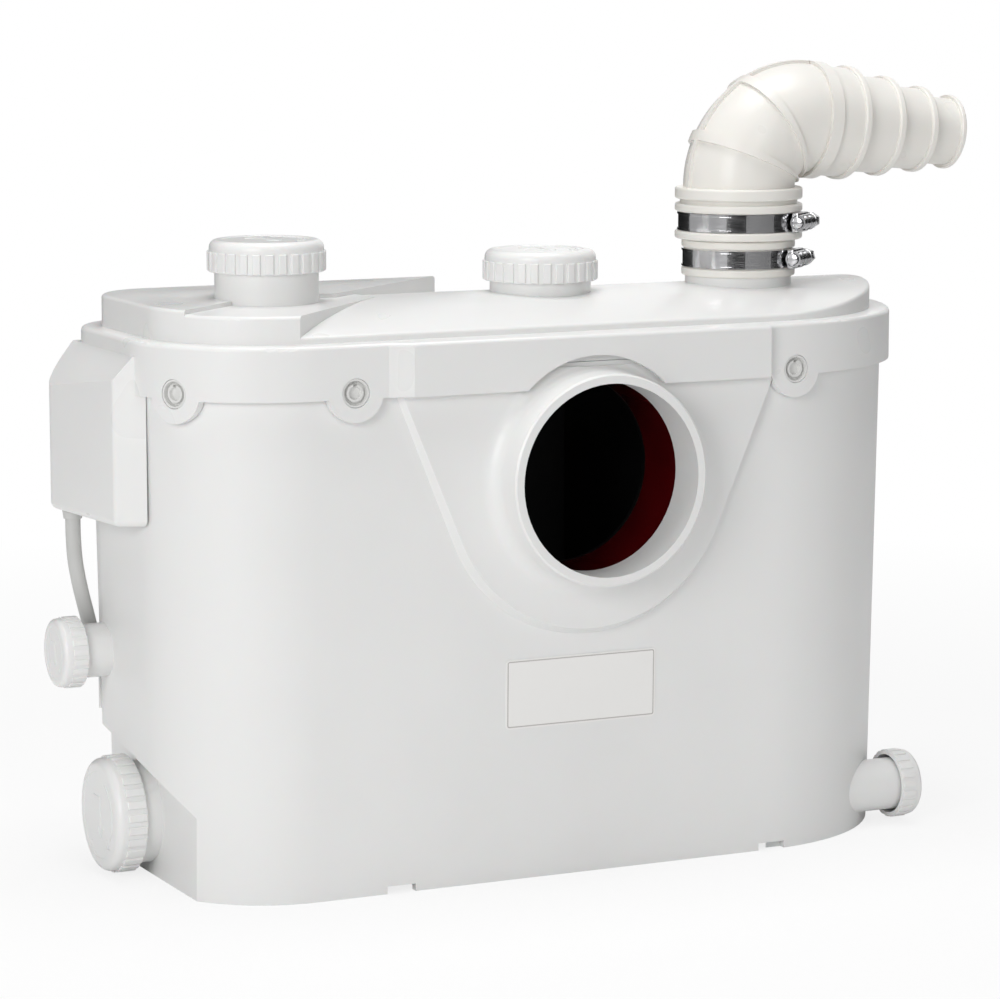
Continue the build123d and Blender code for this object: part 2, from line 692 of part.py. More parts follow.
def tank():
    """The moulded tank with its collar, panel, side necks, recess and base rim."""
    outer = loft([plan_face(0, 0), plan_face(TANK_DRAFT, TANK_HEIGHT)], ruled=True)
    outer += front_panel()
    outer += collar()
    outer -= recess_tool(0)
    low = plan_face(wall_growth(FLOOR_TOP) - TANK_WALL, FLOOR_TOP)
    high = plan_face(TANK_DRAFT - TANK_WALL, TANK_HEIGHT)
    shell = outer - (loft([low, high], ruled=True) - recess_tool(TANK_WALL))
    shell -= slab(-BASE_RIM_WALL, 0, BASE_RIM) - recess_tool(BASE_RIM_WALL) - base_ribs()
    for place in (-NOTCH_LEFT, NOTCH_RIGHT):
        shell -= Pos(place, -TANK_FRONT, 0) * block(NOTCH_WIDTH, 2 * BASE_RIM_WALL, NOTCH_HEIGHT)
    shell -= inlet_rod(COLLAR_BORE_RADIUS, 0, COLLAR_FRONT + OVERRUN)
    shell -= inlet_rod(LINING_OUTER + FIT_GAP, 0, COLLAR_FRONT - COLLAR_BORE_DEPTH)
    for port in SIDE_PORTS:
        root = port_root(port)
        frame = outwards(port.side, port.y, port.z)
        shell += frame * Pos(0, 0, root) * rod(port.neck_radius, port.mouth - root)
        bore = rod(port.neck_radius - port.neck_wall, port.mouth - root + 2 * OVERRUN)
        shell -= frame * Pos(0, 0, root - OVERRUN) * bore
        shell += hinge_brackets(port)
    for index in range(WALL_RIBS):
        shell += wall_rib(WALL_RIB_FIRST + index * WALL_RIB_PITCH)
    for spot in lug_spots():
        shell -= spot * Pos(0, 0, -RIVET_LENGTH) * rod(RIVET_SHANK_RADIUS + FIT_GAP, RIVET_LENGTH)
    return shell


def dome(growth, low, drop):
    """The lid's arched top: a block with the tank's outline under a long cylinder."""
    radius = DOME_ARCH_RADIUS - drop
    arch = Pos(0, 0, DOME_CREST - DOME_ARCH_RADIUS) * Rot(0, 90, 0) * Cylinder(radius, 4 * TANK_HALF_LENGTH)
    return slab(growth, low, DOME_CREST + 2 * OVERRUN) & arch


def step_plate(corner_shares, growth, low, high):
    """A raised flat part of the lid's top, trimmed to the dome's outline."""
    corners = [(x * TANK_HALF_LENGTH, y * TANK_BACK) for x, y in corner_shares]
    plate = extrude(Plane.XY.offset(low) * make_face(Polyline(*corners, close=True)), amount=high - low)
    return plate & slab(growth, low, high)


def outline_edges(shape, growth, low, high):
    """A shape's edges that run along the grown outline of the tank between two heights."""
    outline = plan_face(growth, 0).faces()[0].outer_wire()
    found = []
    for edge in shape.edges():
        points = [edge @ share for share in EDGE_TEST_SHARES]
        run = points[-1] - points[0]
        level = all(low < point.Z < high for point in points)
        along = all(outline.distance_to(Vector(point.X, point.Y, 0)) < EDGE_MATCH for point in points)
        if level and along and hypot(run.X, run.Y) > DOME_EDGE_RADIUS:
            found.append(edge)
    return found


def lid_top(growth):
    """The arched top with its two raised areas, their outer edges rounded."""
    top = dome(growth, SKIRT_TOP - OVERRUN, 0)
    top = fillet(top.edges().filter_by(lambda edge: edge.center().Z > SKIRT_TOP), DOME_EDGE_RADIUS)
    outer = growth + STEP_STAND
    for corner_shares, high in ((PLATEAU_CORNER_SHARES, PLATEAU_TOP), (PLATFORM_CORNER_SHARES, PLATFORM_TOP)):
        plate = step_plate(corner_shares, outer, SKIRT_TOP - OVERRUN, high)
        rim = outline_edges(plate, outer, high - EDGE_MATCH, high + EDGE_MATCH)
        top += fillet(rim, DOME_EDGE_RADIUS)
    return top


def hood_outline(inset):
    """The hood seen from above, as a face at height zero; inset moves its walls inwards."""
    back = HOOD_BACK - inset
    slope = (HOOD_OUTER_BACK - HOOD_OUTER_FRONT) / (HOOD_BACK - HOOD_FRONT)
    shift = inset * hypot(1, slope)
    lift = inset * hypot(1, HOOD_LEAN)
    inwards = (shift - slope * lift) / (1 - slope * HOOD_LEAN)
    near = -HOOD_OUTER_FRONT + inwards
    front = HOOD_FRONT + lift - HOOD_LEAN * inwards
    far = -HOOD_OUTER_BACK + slope * inset + shift
    inner = -TANK_HALF_LENGTH + BACK_RADIUS
    inner_front = front - HOOD_LEAN * (inner - near)
    outline = make_face(Polyline((inner, inner_front), (near, front), (far, back), (inner, back), close=True))
    outline = fillet(outline.vertices().sort_by_distance((far, back, 0))[0], HOOD_BACK_RADIUS - inset)
    return fillet(outline.vertices().sort_by_distance((near, front, 0))[0], HOOD_FRONT_RADIUS)


def hood_block(inset):
    """The hood as a solid block with its sloped shoulder; inset gives the hollow inside."""
    low = HOOD_BOTTOM + inset
    high = HOOD_SLOPE_HIGH - inset
    body = extrude(Pos(0, 0, low) * hood_outline(inset), amount=high - low)
    if not inset:
        outside = lambda edge: edge.center().X < -SKIRT_END
        body = fillet(body.edges().group_by(Axis.Z)[0].filter_by(outside), HOOD_EDGE_RADIUS)
    rise = HOOD_SLOPE_HIGH - HOOD_SLOPE_LOW
    run = HOOD_OUTER_BACK - SKIRT_END
    drop = inset * hypot(rise, run) / run
    over = HOOD_SLOPE_HIGH + HOOD_OUTER_BACK
    cutter = make_face(Polyline(
        (-HOOD_OUTER_BACK, HOOD_SLOPE_LOW - drop), (-SKIRT_END, HOOD_SLOPE_HIGH - drop), (-SKIRT_END, over),
        (-2 * HOOD_OUTER_BACK, over), (-2 * HOOD_OUTER_BACK, HOOD_SLOPE_LOW - drop), close=True))
    return body - extrude(Plane.XZ * cutter, amount=2 * TANK_FRONT, both=True)


def lid():
    """The moulded lid: skirt with lugs, arched top with steps, port necks, outlet neck and hood."""
    clear = TANK_DRAFT + SKIRT_GAP
    skirt = slab(SKIRT_GROWTH, SKIRT_BOTTOM, SKIRT_TOP)
    front = -TANK_FRONT - SKIRT_GROWTH
    proud = make_face(Polyline(
        (-PROUD_LEFT - PROUD_EASE, front), (-PROUD_LEFT, -PROUD_FRONT), (PROUD_RIGHT, -PROUD_FRONT),
        (PROUD_RIGHT + PROUD_STEP, front), (PROUD_RIGHT + PROUD_STEP, front + SKIRT_WALL),
        (-PROUD_LEFT - PROUD_EASE, front + SKIRT_WALL), close=True))
    skirt += extrude(Plane.XY.offset(SKIRT_BOTTOM) * proud, amount=SKIRT_TOP - SKIRT_BOTTOM)
    skirt = fillet(skirt.edges().group_by(Axis.Z)[-1], SKIRT_EDGE_RADIUS)
    dome_growth = SKIRT_GROWTH - DOME_INSET
    shape = skirt + lid_top(dome_growth) + hood_block(0)
    for spot in lug_spots():
        ring = slab(SKIRT_GROWTH, LUG_HEIGHT - LUG_RADIUS, LUG_HEIGHT)
        reach = spot * Pos(0, 0, -SKIRT_WALL) * Cylinder(LUG_RADIUS, 4 * SKIRT_WALL)
        shape += ring & reach
    shape -= raised_panel(RUN_GAP)
    for x, y, mouth in TOP_PORTS:
        shape += Pos(x, y, SKIRT_TOP) * rod(NECK_RADIUS, mouth - SKIRT_TOP)
    shape += Pos(OUTLET_PLACE, 0, WEB_BOTTOM) * rod(SPIGOT_RADIUS, OUTLET_TOP - WEB_BOTTOM)
    shape += Pos(OUTLET_PLACE, 0, SKIRT_TOP) * rod(OUTLET_COLLAR_RADIUS, OUTLET_COLLAR_TOP - SKIRT_TOP)
    hollow = slab(clear, HOOD_BOTTOM - OVERRUN, LID_SEAT)
    hollow += slab(TANK_DRAFT - LID_SEAT_WIDTH, LID_SEAT, SKIRT_TOP - LID_WALL)
    hollow += dome(dome_growth - LID_WALL, LID_SEAT, LID_WALL)
    tongue = block(2 * (TONGUE_HALF_WIDTH + RUN_GAP), PANEL_FRONT + RUN_GAP, LID_SEAT - SKIRT_BOTTOM + OVERRUN)
    hollow += Pos(0, -(PANEL_FRONT + RUN_GAP) / 2, SKIRT_BOTTOM - OVERRUN) * tongue
    hollow -= Pos(OUTLET_PLACE, 0, WEB_BOTTOM) * rod(SPIGOT_RADIUS, OUTLET_TOP - WEB_BOTTOM)
    shape -= hollow
    shape -= hood_block(HOOD_WALL) - slab(SKIRT_GROWTH, SKIRT_BOTTOM, SKIRT_TOP)
    shape -= Pos(0, 0, SKIRT_ARCH_LIFT) * inlet_rod(SKIRT_ARCH_RADIUS, PANEL_FRONT + RUN_GAP, COLLAR_FRONT)
    flare_radius = COLLAR_BORE_RADIUS + COLLAR_WALL + COLLAR_FLARE + RUN_GAP
    shape -= inlet_rod(flare_radius, PANEL_FRONT + RUN_GAP, PANEL_FRONT + COLLAR_FLARE / 4)
    relief_hole = rod(RELIEF_SHANK_RADIUS + FIT_GAP, HOOD_WALL + 2 * OVERRUN)
    shape -= Pos(*LEAD_EXIT, HOOD_BOTTOM - OVERRUN) * relief_hole
    for x, y, mouth in TOP_PORTS:
        shape -= Pos(x, y, LID_SEAT) * rod(NECK_RADIUS - NECK_WALL, mouth - LID_SEAT + OVERRUN)
    spigot_bore = rod(SPIGOT_RADIUS - SPIGOT_WALL, OUTLET_TOP - SKIRT_TOP + OVERRUN)
    shape -= Pos(OUTLET_PLACE, 0, SKIRT_TOP) * spigot_bore
    shape -= Pos(OUTLET_PLACE, 0, WEB_BOTTOM - OVERRUN) * rod(PIPE_RADIUS + FIT_GAP, SPIGOT_WEB + 2 * OVERRUN)
    for spot in lug_spots():
        shape -= spot * Pos(0, 0, -TANK_WALL) * Cylinder(LUG_HOLE_RADIUS, 4 * SKIRT_WALL)
    return shape


def lid_gasket():
    """The flat rubber gasket between the tank's rim and the lid."""
    ring = slab(TANK_DRAFT - GASKET_INSET, TANK_HEIGHT, LID_SEAT)
    return ring - slab(TANK_DRAFT - TANK_WALL + GASKET_INSET, TANK_HEIGHT, LID_SEAT)


def lid_rivet(spot):
    """One snap rivet: a slotted head sunk in the lug and a barbed shank through the tank's wall."""
    shank_end = -RIVET_LENGTH
    head_foot = -RIVET_SINK - RIVET_HEAD
    rivet = Pos(0, 0, head_foot) * rod(RIVET_HEAD_RADIUS, RIVET_HEAD)
    rivet += Pos(0, 0, shank_end) * rod(RIVET_SHANK_RADIUS, head_foot - shank_end)
    rivet -= Pos(0, 0, -RIVET_SINK - RIVET_RECESS) * tube(RIVET_RECESS_RADIUS, RIVET_SLOT, RIVET_RECESS)
    rivet -= Pos(0, 0, -RIVET_SINK - RIVET_RECESS) * block(2 * RIVET_HEAD_RADIUS, RIVET_SLOT, RIVET_RECESS)
    return spot * rivet


def lid_clips():
    """All the snap rivets of the lid."""
    return Compound([lid_rivet(spot) for spot in lug_spots()])


def inlet_lining():
    """The glossy sleeve inside the inlet."""
    start = COLLAR_FRONT - COLLAR_BORE_DEPTH - LINING_LENGTH
    sleeve = tube(LINING_OUTER, COLLAR_BORE_RADIUS, LINING_LENGTH)
    return to_front(0, INLET_HEIGHT, start) * sleeve


def basket_outline(radius):
    """The basket's outline from above: two half circles joined by straight sides."""
    length = BASKET_RIGHT - SHAFT_X
    outline = SlotCenterToCenter(length, 2 * radius)
    return Pos(SHAFT_X + length / 2, SHAFT_Y) * outline


def inlet_chute():
    """The black chute behind the inlet, with the plate that closes the basket."""
    width, depth = 2 * CHUTE_HALF_WIDTH, CHUTE_BACK - CHUTE_FRONT
    middle = (CHUTE_BACK + CHUTE_FRONT) / 2
    plate = extrude(basket_outline(BASKET_RADIUS), amount=COVER_PLATE)
    plate += Pos(0, middle, 0) * block(width, depth, COVER_PLATE)
    chute = Pos(0, 0, BASKET_TOP) * plate
    chute += Pos(0, middle, BASKET_TOP) * block(width, depth, CHUTE_TOP - BASKET_TOP)
    inside = block(
        width - 2 * CHUTE_WALL, depth - 2 * CHUTE_WALL, CHUTE_TOP - CHUTE_WALL - BASKET_TOP - COVER_PLATE)
    chute -= Pos(0, middle, BASKET_TOP + COVER_PLATE) * inside
    throat = extrude(basket_outline(BASKET_RADIUS - BASKET_WALL), amount=COVER_PLATE)
    throat &= Pos(0, middle, 0) * block(width - 2 * CHUTE_WALL, depth - 2 * CHUTE_WALL, COVER_PLATE)
    chute -= Pos(0, 0, BASKET_TOP) * throat
    chute -= inlet_rod(COLLAR_BORE_RADIUS, 0, COLLAR_FRONT)
    x, y, mouth = TOP_PORTS[1]
    chute -= Pos(x, y, CHUTE_TOP - 2 * CHUTE_WALL) * rod(NECK_RADIUS - 2 * NECK_WALL, 4 * CHUTE_WALL)
    chute -= Pos(SHAFT_X, SHAFT_Y, BASKET_TOP) * rod(BEARING_RADIUS, COVER_PLATE)
    return chute


def basket():
    """The slotted basket that holds the solids around the cutter."""
    height = BASKET_TOP - VOLUTE_TOP
    shape = extrude(basket_outline(BASKET_RADIUS), amount=height)
    shape -= Pos(0, 0, BASKET_WALL) * extrude(basket_outline(BASKET_RADIUS - BASKET_WALL), amount=height)
    pitch = (BASKET_RIGHT - SHAFT_X) / (BASKET_SLOTS - 1)
    low = (height - BASKET_SLOT_LENGTH) / 2
    for index in range(BASKET_SLOTS):
        slot = block(BASKET_SLOT_WIDTH, 4 * BASKET_RADIUS, BASKET_SLOT_LENGTH)
        shape -= Pos(SHAFT_X + index * pitch, 0, low) * slot
    shape -= Pos(SHAFT_X, SHAFT_Y, 0) * rod(VOLUTE_EYE_RADIUS, BASKET_WALL)
    shape = Pos(0, 0, VOLUTE_TOP) * shape
    reach = BASKET_RADIUS - 2 * BASKET_FOOT_RADIUS
    for turn in BASKET_FOOT_TURNS:
        x = BASKET_RIGHT + reach * cos(radians(turn))
        y = SHAFT_Y + reach * sin(radians(turn))
        shape += Pos(x, y, FLOOR_TOP) * rod(BASKET_FOOT_RADIUS, VOLUTE_TOP - FLOOR_TOP)
    return shape


def pump_volute():
    """The pump's round housing with its tangential outlet and the pipe's socket."""
    height = VOLUTE_TOP - VOLUTE_COVER - FLOOR_TOP
    stub_y = SHAFT_Y - PIPE_OFFSET
    shape = Pos(SHAFT_X, SHAFT_Y, FLOOR_TOP) * rod(VOLUTE_RADIUS, height)
    along = Plane(origin=(SHAFT_X, stub_y, PIPE_HEIGHT), x_dir=(0, 1, 0), z_dir=(1, 0, 0))
    shape += along * rod(PIPE_RADIUS, STUB_LENGTH)
    shape += along * Pos(0, 0, STUB_LENGTH - SOCKET_LENGTH - SOCKET_WALL) * rod(
        SOCKET_RADIUS, SOCKET_LENGTH + SOCKET_WALL)
    cover_space = Pos(SHAFT_X, SHAFT_Y, VOLUTE_TOP - VOLUTE_COVER) * rod(VOLUTE_RADIUS + FIT_GAP, VOLUTE_COVER)
    shape -= cover_space
    cavity = rod(VOLUTE_RADIUS - VOLUTE_WALL, height)
    shape -= Pos(SHAFT_X, SHAFT_Y, FLOOR_TOP + VOLUTE_FLOOR) * cavity
    shape -= along * rod(PIPE_RADIUS - PIPE_WALL, STUB_LENGTH)
    shape -= along * Pos(0, 0, STUB_LENGTH - SOCKET_LENGTH) * rod(PIPE_RADIUS + FIT_GAP, SOCKET_LENGTH)
    return shape


def volute_cover():
    """The plate that closes the volute, with the eye that the pump draws through."""
    plate = tube(VOLUTE_RADIUS, VOLUTE_EYE_RADIUS, VOLUTE_COVER)
    return Pos(SHAFT_X, SHAFT_Y, VOLUTE_TOP - VOLUTE_COVER) * plate


def on_shaft(shape, height):
    """Move a shape made about Z onto the motor's shaft line at a height."""
    return Pos(SHAFT_X, SHAFT_Y, height) * shape


def motor_can():
    """The motor's housing, with the boss of its lower bearing and the strap of the capacitor."""
    height = MOTOR_TOP - MOTOR_BOTTOM
    can = rod(MOTOR_RADIUS, height) - Pos(0, 0, MOTOR_WALL) * rod(MOTOR_RADIUS - MOTOR_WALL, height)
    can += rod(BEARING_RADIUS + BOSS_WALL, SEAL_HEIGHT + BEARING_HEIGHT)
    can -= rod(SEAL_RADIUS + FIT_GAP, SEAL_HEIGHT)
    can -= Pos(0, 0, SEAL_HEIGHT) * rod(BEARING_RADIUS + FIT_GAP, BEARING_HEIGHT)
    can = on_shaft(can, MOTOR_BOTTOM)
    strap_height = CAPACITOR_BOTTOM + CAPACITOR_LENGTH / 2 - MOTOR_BOTTOM
    x, y = capacitor_place()
    strap = tube(CAPACITOR_RADIUS + FIT_GAP + STRAP_WALL, CAPACITOR_RADIUS + FIT_GAP, STRAP_HEIGHT)
    strap_solid = Pos(x, y, MOTOR_BOTTOM + strap_height - STRAP_HEIGHT) * strap
    return can + (strap_solid - on_shaft(rod(MOTOR_RADIUS - MOTOR_WALL, height), MOTOR_BOTTOM))


def capacitor_place():
    """Place of the capacitor, against the side of the motor can."""
    reach = MOTOR_RADIUS + CAPACITOR_RADIUS + 2 * FIT_GAP
    turn = radians(CAPACITOR_TURN)
    return SHAFT_X + reach * cos(turn), SHAFT_Y + reach * sin(turn)


def capacitor():
    """The motor's run capacitor."""
    x, y = capacitor_place()
    body = rod(CAPACITOR_RADIUS, CAPACITOR_LENGTH)
    body = chamfer(body.edges().group_by(Axis.Z)[-1], STRAP_WALL)
    body -= Pos(0, 0, CAPACITOR_LENGTH - STRAP_WALL) * rod(CAPACITOR_RADIUS / 2, STRAP_WALL)
    return Pos(x, y, CAPACITOR_BOTTOM) * body


def motor_cover():
    """The motor's top cover, with the boss of the upper bearing."""
    cover = rod(MOTOR_RADIUS, MOTOR_COVER)
    cover = fillet(cover.edges().group_by(Axis.Z)[-1], MOTOR_WALL)
    cover += Pos(0, 0, -BEARING_HEIGHT) * rod(BEARING_RADIUS + BOSS_WALL, BEARING_HEIGHT)
    cover -= Pos(0, 0, -BEARING_HEIGHT) * rod(BEARING_RADIUS + FIT_GAP, BEARING_HEIGHT)
    cover -= rod(SHAFT_RADIUS + FIT_GAP, MOTOR_COVER / 2)
    return on_shaft(cover, MOTOR_TOP)


def bearing(height):
    """A ball bearing as a ring, with a groove on each face between its two races."""
    ring = tube(BEARING_RADIUS, SHAFT_RADIUS + SHAFT_GAP, BEARING_HEIGHT)
    middle = (BEARING_RADIUS + SHAFT_RADIUS) / 2
    groove = tube(middle + BEARING_GROOVE, middle - BEARING_GROOVE, BEARING_GROOVE)
    ring -= groove
    ring -= Pos(0, 0, BEARING_HEIGHT - BEARING_GROOVE) * groove
    return on_shaft(ring, height)


def shaft_seal():
    """The lip seal that keeps water out of the motor."""
    return on_shaft(tube(SEAL_RADIUS, SHAFT_RADIUS + SHAFT_GAP, SEAL_HEIGHT), MOTOR_BOTTOM)


def stator():
    """The motor's slotted iron core."""
    height = STATOR_TOP - STATOR_BOTTOM
    core = tube(MOTOR_RADIUS - MOTOR_WALL - FIT_GAP, STATOR_BORE, height)
    for turn in PolarLocations(0, STATOR_SLOTS):
        core -= turn * Pos(SLOT_MIDDLE, 0, 0) * block(SLOT_DEPTH, SLOT_WIDTH, height)
        core -= turn * Pos(STATOR_BORE, 0, 0) * block(SLOT_DEPTH, SLOT_WIDTH / 3, height)
    return on_shaft(core, STATOR_BOTTOM)


def windings():
    """The copper windings: bars in the slots and a ring of end turns above and below."""
    height = STATOR_TOP - STATOR_BOTTOM
    depth = SLOT_DEPTH - 2 * FIT_GAP
    width = SLOT_WIDTH - 2 * FIT_GAP
    ring = tube(SLOT_MIDDLE + SLOT_DEPTH / 2, SLOT_MIDDLE - SLOT_DEPTH / 2, WINDING_HEIGHT)
    coil = Pos(0, 0, -WINDING_HEIGHT) * ring
    coil += Pos(0, 0, height) * ring
    for turn in PolarLocations(0, STATOR_SLOTS):
        coil += turn * Pos(SLOT_MIDDLE, 0, -WINDING_HEIGHT / 2) * block(depth, width, height + WINDING_HEIGHT)
    return on_shaft(coil, STATOR_BOTTOM)


def rotor():
    """The motor's rotor on the shaft."""
    height = STATOR_TOP - STATOR_BOTTOM
    return on_shaft(tube(STATOR_BORE - ROTOR_GAP, SHAFT_RADIUS + FIT_GAP, height), STATOR_BOTTOM)


def shaft():
    """The one upright shaft; its thin lower end carries cutter and impeller."""
    low = rod(TAIL_RADIUS, CUTTER_TOP - SHAFT_BOTTOM)
    high = rod(SHAFT_RADIUS, SHAFT_TOP - CUTTER_TOP)
    return on_shaft(low, SHAFT_BOTTOM) + on_shaft(high, CUTTER_TOP)


def cutter_blade():
    """The four-armed cutter with a hub that reaches down to the impeller."""
    foot = IMPELLER_BOTTOM + IMPELLER_DISC + IMPELLER_VANE
    hub = rod(CUTTER_HUB_RADIUS, CUTTER_TOP - foot)
    for turn in PolarLocations(0, CUTTER_BLADES):
        arm = Pos(CUTTER_REACH / 2, 0, 0) * block(CUTTER_REACH, CUTTER_BLADE_WIDTH, CUTTER_THICKNESS)
        tip = Pos(CUTTER_REACH - CUTTER_THICKNESS / 2, 0, 0) * block(
            CUTTER_THICKNESS, CUTTER_BLADE_WIDTH, 2 * CUTTER_BLADE_WIDTH)
        hub += turn * Pos(0, 0, CUTTER_BOTTOM - foot) * (arm + tip)
    hub -= rod(TAIL_RADIUS + FIT_GAP, CUTTER_TOP - foot)
    return on_shaft(hub, foot)


def impeller():
    """The pump's open impeller: a disc, six swept vanes and a hub."""
    height = IMPELLER_DISC + IMPELLER_VANE
    wheel = rod(IMPELLER_RADIUS, IMPELLER_DISC) + rod(CUTTER_HUB_RADIUS, height)
    length = IMPELLER_RADIUS - CUTTER_HUB_RADIUS
    for turn in PolarLocations(0, IMPELLER_VANES):
        vane = Box(length, VANE_THICKNESS, height, align=(Align.MIN, Align.MIN, Align.MIN))
        root = CUTTER_HUB_RADIUS * cos(radians(45))
        wheel += turn * Pos(root, root / 2, 0) * vane
    wheel &= rod(IMPELLER_RADIUS, height)
    wheel -= rod(TAIL_RADIUS + FIT_GAP, height)
    return on_shaft(wheel, IMPELLER_BOTTOM)


def impeller_nut():
    """The nut that holds cutter and impeller on the shaft."""
    nut = extrude(RegularPolygon(NUT_FLATS / 2, 6, major_radius=False), amount=NUT_HEIGHT)
    nut -= rod(TAIL_RADIUS + FIT_GAP, NUT_HEIGHT)
    return on_shaft(nut, IMPELLER_BOTTOM - NUT_HEIGHT)


def discharge_pipe():
    """The pipe from the volute's socket along the floor and up to the outlet."""
    start = SHAFT_X + STUB_LENGTH - SOCKET_LENGTH
    y = SHAFT_Y - PIPE_OFFSET
    half = (OUTLET_PLACE - start) / 2
    points = [
        (start, y, PIPE_HEIGHT), (start + half, y, PIPE_HEIGHT), (OUTLET_PLACE, 0, PIPE_HEIGHT),
        (OUTLET_PLACE, 0, WEB_BOTTOM + SPIGOT_WEB)]
    path = FilletPolyline(*points, radius=[2 * PIPE_BEND, PIPE_BEND])
    section = Plane(origin=path @ 0, z_dir=path % 0) * (Circle(PIPE_RADIUS) - Circle(PIPE_RADIUS - PIPE_WALL))
    return sweep(section, path)


def check_valve_body():
    """The tube on the outlet neck that holds the check valve's seat and hinge."""
    inner = SPIGOT_RADIUS - SPIGOT_WALL
    body = Pos(0, 0, OUTLET_TOP) * tube(SPIGOT_RADIUS, inner, VALVE_TOP - OUTLET_TOP)
    body += Pos(0, 0, VALVE_SEAT) * tube(inner + SPIGOT_WALL / 2, VALVE_SEAT_RADIUS, VALVE_SEAT_THICKNESS)
    gap = VALVE_EYE_LENGTH / 2 + RUN_GAP
    low = VALVE_SEAT + VALVE_SEAT_THICKNESS - VALVE_HINGE
    cheek = Pos(0, gap, low) * Box(
        inner, BRACKET_WIDTH, VALVE_EYE_RADIUS - low, align=(Align.MAX, Align.MIN, Align.MIN))
    cheek += Pos(0, gap + BRACKET_WIDTH / 2, 0) * Rot(90, 0, 0) * Cylinder(VALVE_EYE_RADIUS, BRACKET_WIDTH)
    cheek = Pos(-VALVE_HINGE_REACH, 0, VALVE_HINGE) * cheek
    cheeks = cheek + mirror(cheek, Plane.XZ)
    cheeks &= Pos(0, 0, OUTLET_TOP) * rod(inner + SPIGOT_WALL / 2, VALVE_TOP - OUTLET_TOP)
    body += cheeks
    hole = Rot(90, 0, 0) * Cylinder(VALVE_PIN_RADIUS + SHAFT_GAP, 2 * (gap + BRACKET_WIDTH))
    body -= Pos(-VALVE_HINGE_REACH, 0, VALVE_HINGE) * hole
    return Pos(OUTLET_PLACE, 0, 0) * body


def check_valve_flap():
    """The flap that opens upwards when the pump runs, with its pin."""
    foot = VALVE_SEAT + VALVE_SEAT_THICKNESS + RUN_GAP
    flap = Pos(0, 0, foot) * rod(VALVE_FLAP_RADIUS, VALVE_FLAP_THICKNESS)
    arm = Box(
        VALVE_HINGE_REACH, VALVE_EYE_LENGTH, VALVE_FLAP_THICKNESS, align=(Align.MAX, Align.CENTER, Align.MIN))
    flap += Pos(0, 0, foot) * arm
    eye = Rot(90, 0, 0) * Cylinder(VALVE_EYE_RADIUS, VALVE_EYE_LENGTH)
    pin = Rot(90, 0, 0) * Cylinder(VALVE_PIN_RADIUS, VALVE_EYE_LENGTH + 2 * (RUN_GAP + BRACKET_WIDTH))
    flap += Pos(-VALVE_HINGE_REACH, 0, VALVE_HINGE) * (eye + pin)
    return Pos(OUTLET_PLACE, 0, 0) * flap


def outlet_sleeve():
    """The rubber sleeve on the outlet neck, with a rim above and below the clamp."""
    height = SLEEVE_TOP - OUTLET_COLLAR_TOP
    sleeve = rod(SLEEVE_RADIUS, height)
    rim = rod(SLEEVE_RIM_RADIUS, SLEEVE_RIM)
    rim = fillet(rim.edges().filter_by(GeomType.CIRCLE), RIM_EDGE_RADIUS)
    sleeve += rim
    sleeve += Pos(0, 0, height - SLEEVE_RIM) * rim
    sleeve -= rod(SPIGOT_RADIUS + FIT_GAP, height)
    return Pos(OUTLET_PLACE, 0, OUTLET_COLLAR_TOP) * sleeve


def rim_ring(radius, height):
    """A rounded ring of an outer radius, as moulded on the rubber elbow."""
    ring = rod(radius, height)
    return fillet(ring.edges().filter_by(GeomType.CIRCLE), RIM_EDGE_RADIUS)


def elbow_outer():
    """Outside of the elbow in its own frame: outlet line on Z, bend centre on +X."""
    height = CUFF_FOOT
    shape = Pos(0, 0, height) * rod(CUFF_RADIUS, BEND_HEIGHT - height)
    shape += Pos(0, 0, height) * rim_ring(CUFF_RIM_RADIUS, CUFF_RIM)
    height += CUFF_RIM + CUFF_BAND
    shape += Pos(0, 0, height) * rim_ring(CUFF_RIM_RADIUS, CUFF_RIM)
    height += CUFF_RIM + CUFF_NECK
    shape += Pos(0, 0, height) * rim_ring(CUFF_RIM_RADIUS, BEND_HEIGHT - height)
    bend_axis = Axis((BEND_RADIUS, 0, BEND_HEIGHT), (0, 1, 0))
    start = Plane.XY.offset(BEND_HEIGHT)
    shape += revolve(start * Circle(ELBOW_RADIUS), bend_axis, BEND_TURN)
    rib = Pos(-ELBOW_RADIUS, 0) * Rectangle(2 * RIB_HEIGHT, RIB_WIDTH)
    shape += revolve(start * rib, bend_axis, BEND_TURN)
    shape += nozzle_frame() * Pos(0, 0, END_RIB_PLACE) * rod(ELBOW_RADIUS + RIB_HEIGHT, END_RIB_WIDTH)
    width = degrees(RIB_WIDTH / BEND_RADIUS)
    for turn in ELBOW_RIB_ANGLES:
        ring = revolve(start * Circle(ELBOW_RADIUS + RIB_HEIGHT), bend_axis, width)
        shape += ring.rotate(bend_axis, turn - width / 2)
    return shape


def nozzle_frame():
    """Frame at the end of the bend: Z along the nozzle."""
    turn = radians(BEND_TURN)
    origin = (BEND_RADIUS - BEND_RADIUS * cos(turn), 0, BEND_HEIGHT + BEND_RADIUS * sin(turn))
    return Plane(origin=origin, x_dir=(0, 1, 0), z_dir=(sin(turn), 0, cos(turn)))


def nozzle_outer():
    """Outside of the stepped nozzle along Z, with a bead at each step and a flange at its end."""
    place = 0
    shape = None
    last = len(NOZZLE_RADII) - 1
    for index, (radius, length) in enumerate(zip(NOZZLE_RADII, NOZZLE_LENGTHS)):
        step = Pos(0, 0, place) * rod(radius, length)
        shape = step if shape is None else shape + step
        end = FLANGE_LENGTH if index == last else BEAD_LENGTH
        height = FLANGE_HEIGHT if index == last else BEAD_HEIGHT
        ring = rod(radius + height, end)
        ring = fillet(ring.edges().filter_by(GeomType.CIRCLE), end / 4)
        shape += Pos(0, 0, place + length - end) * ring
        place += length
    return shape


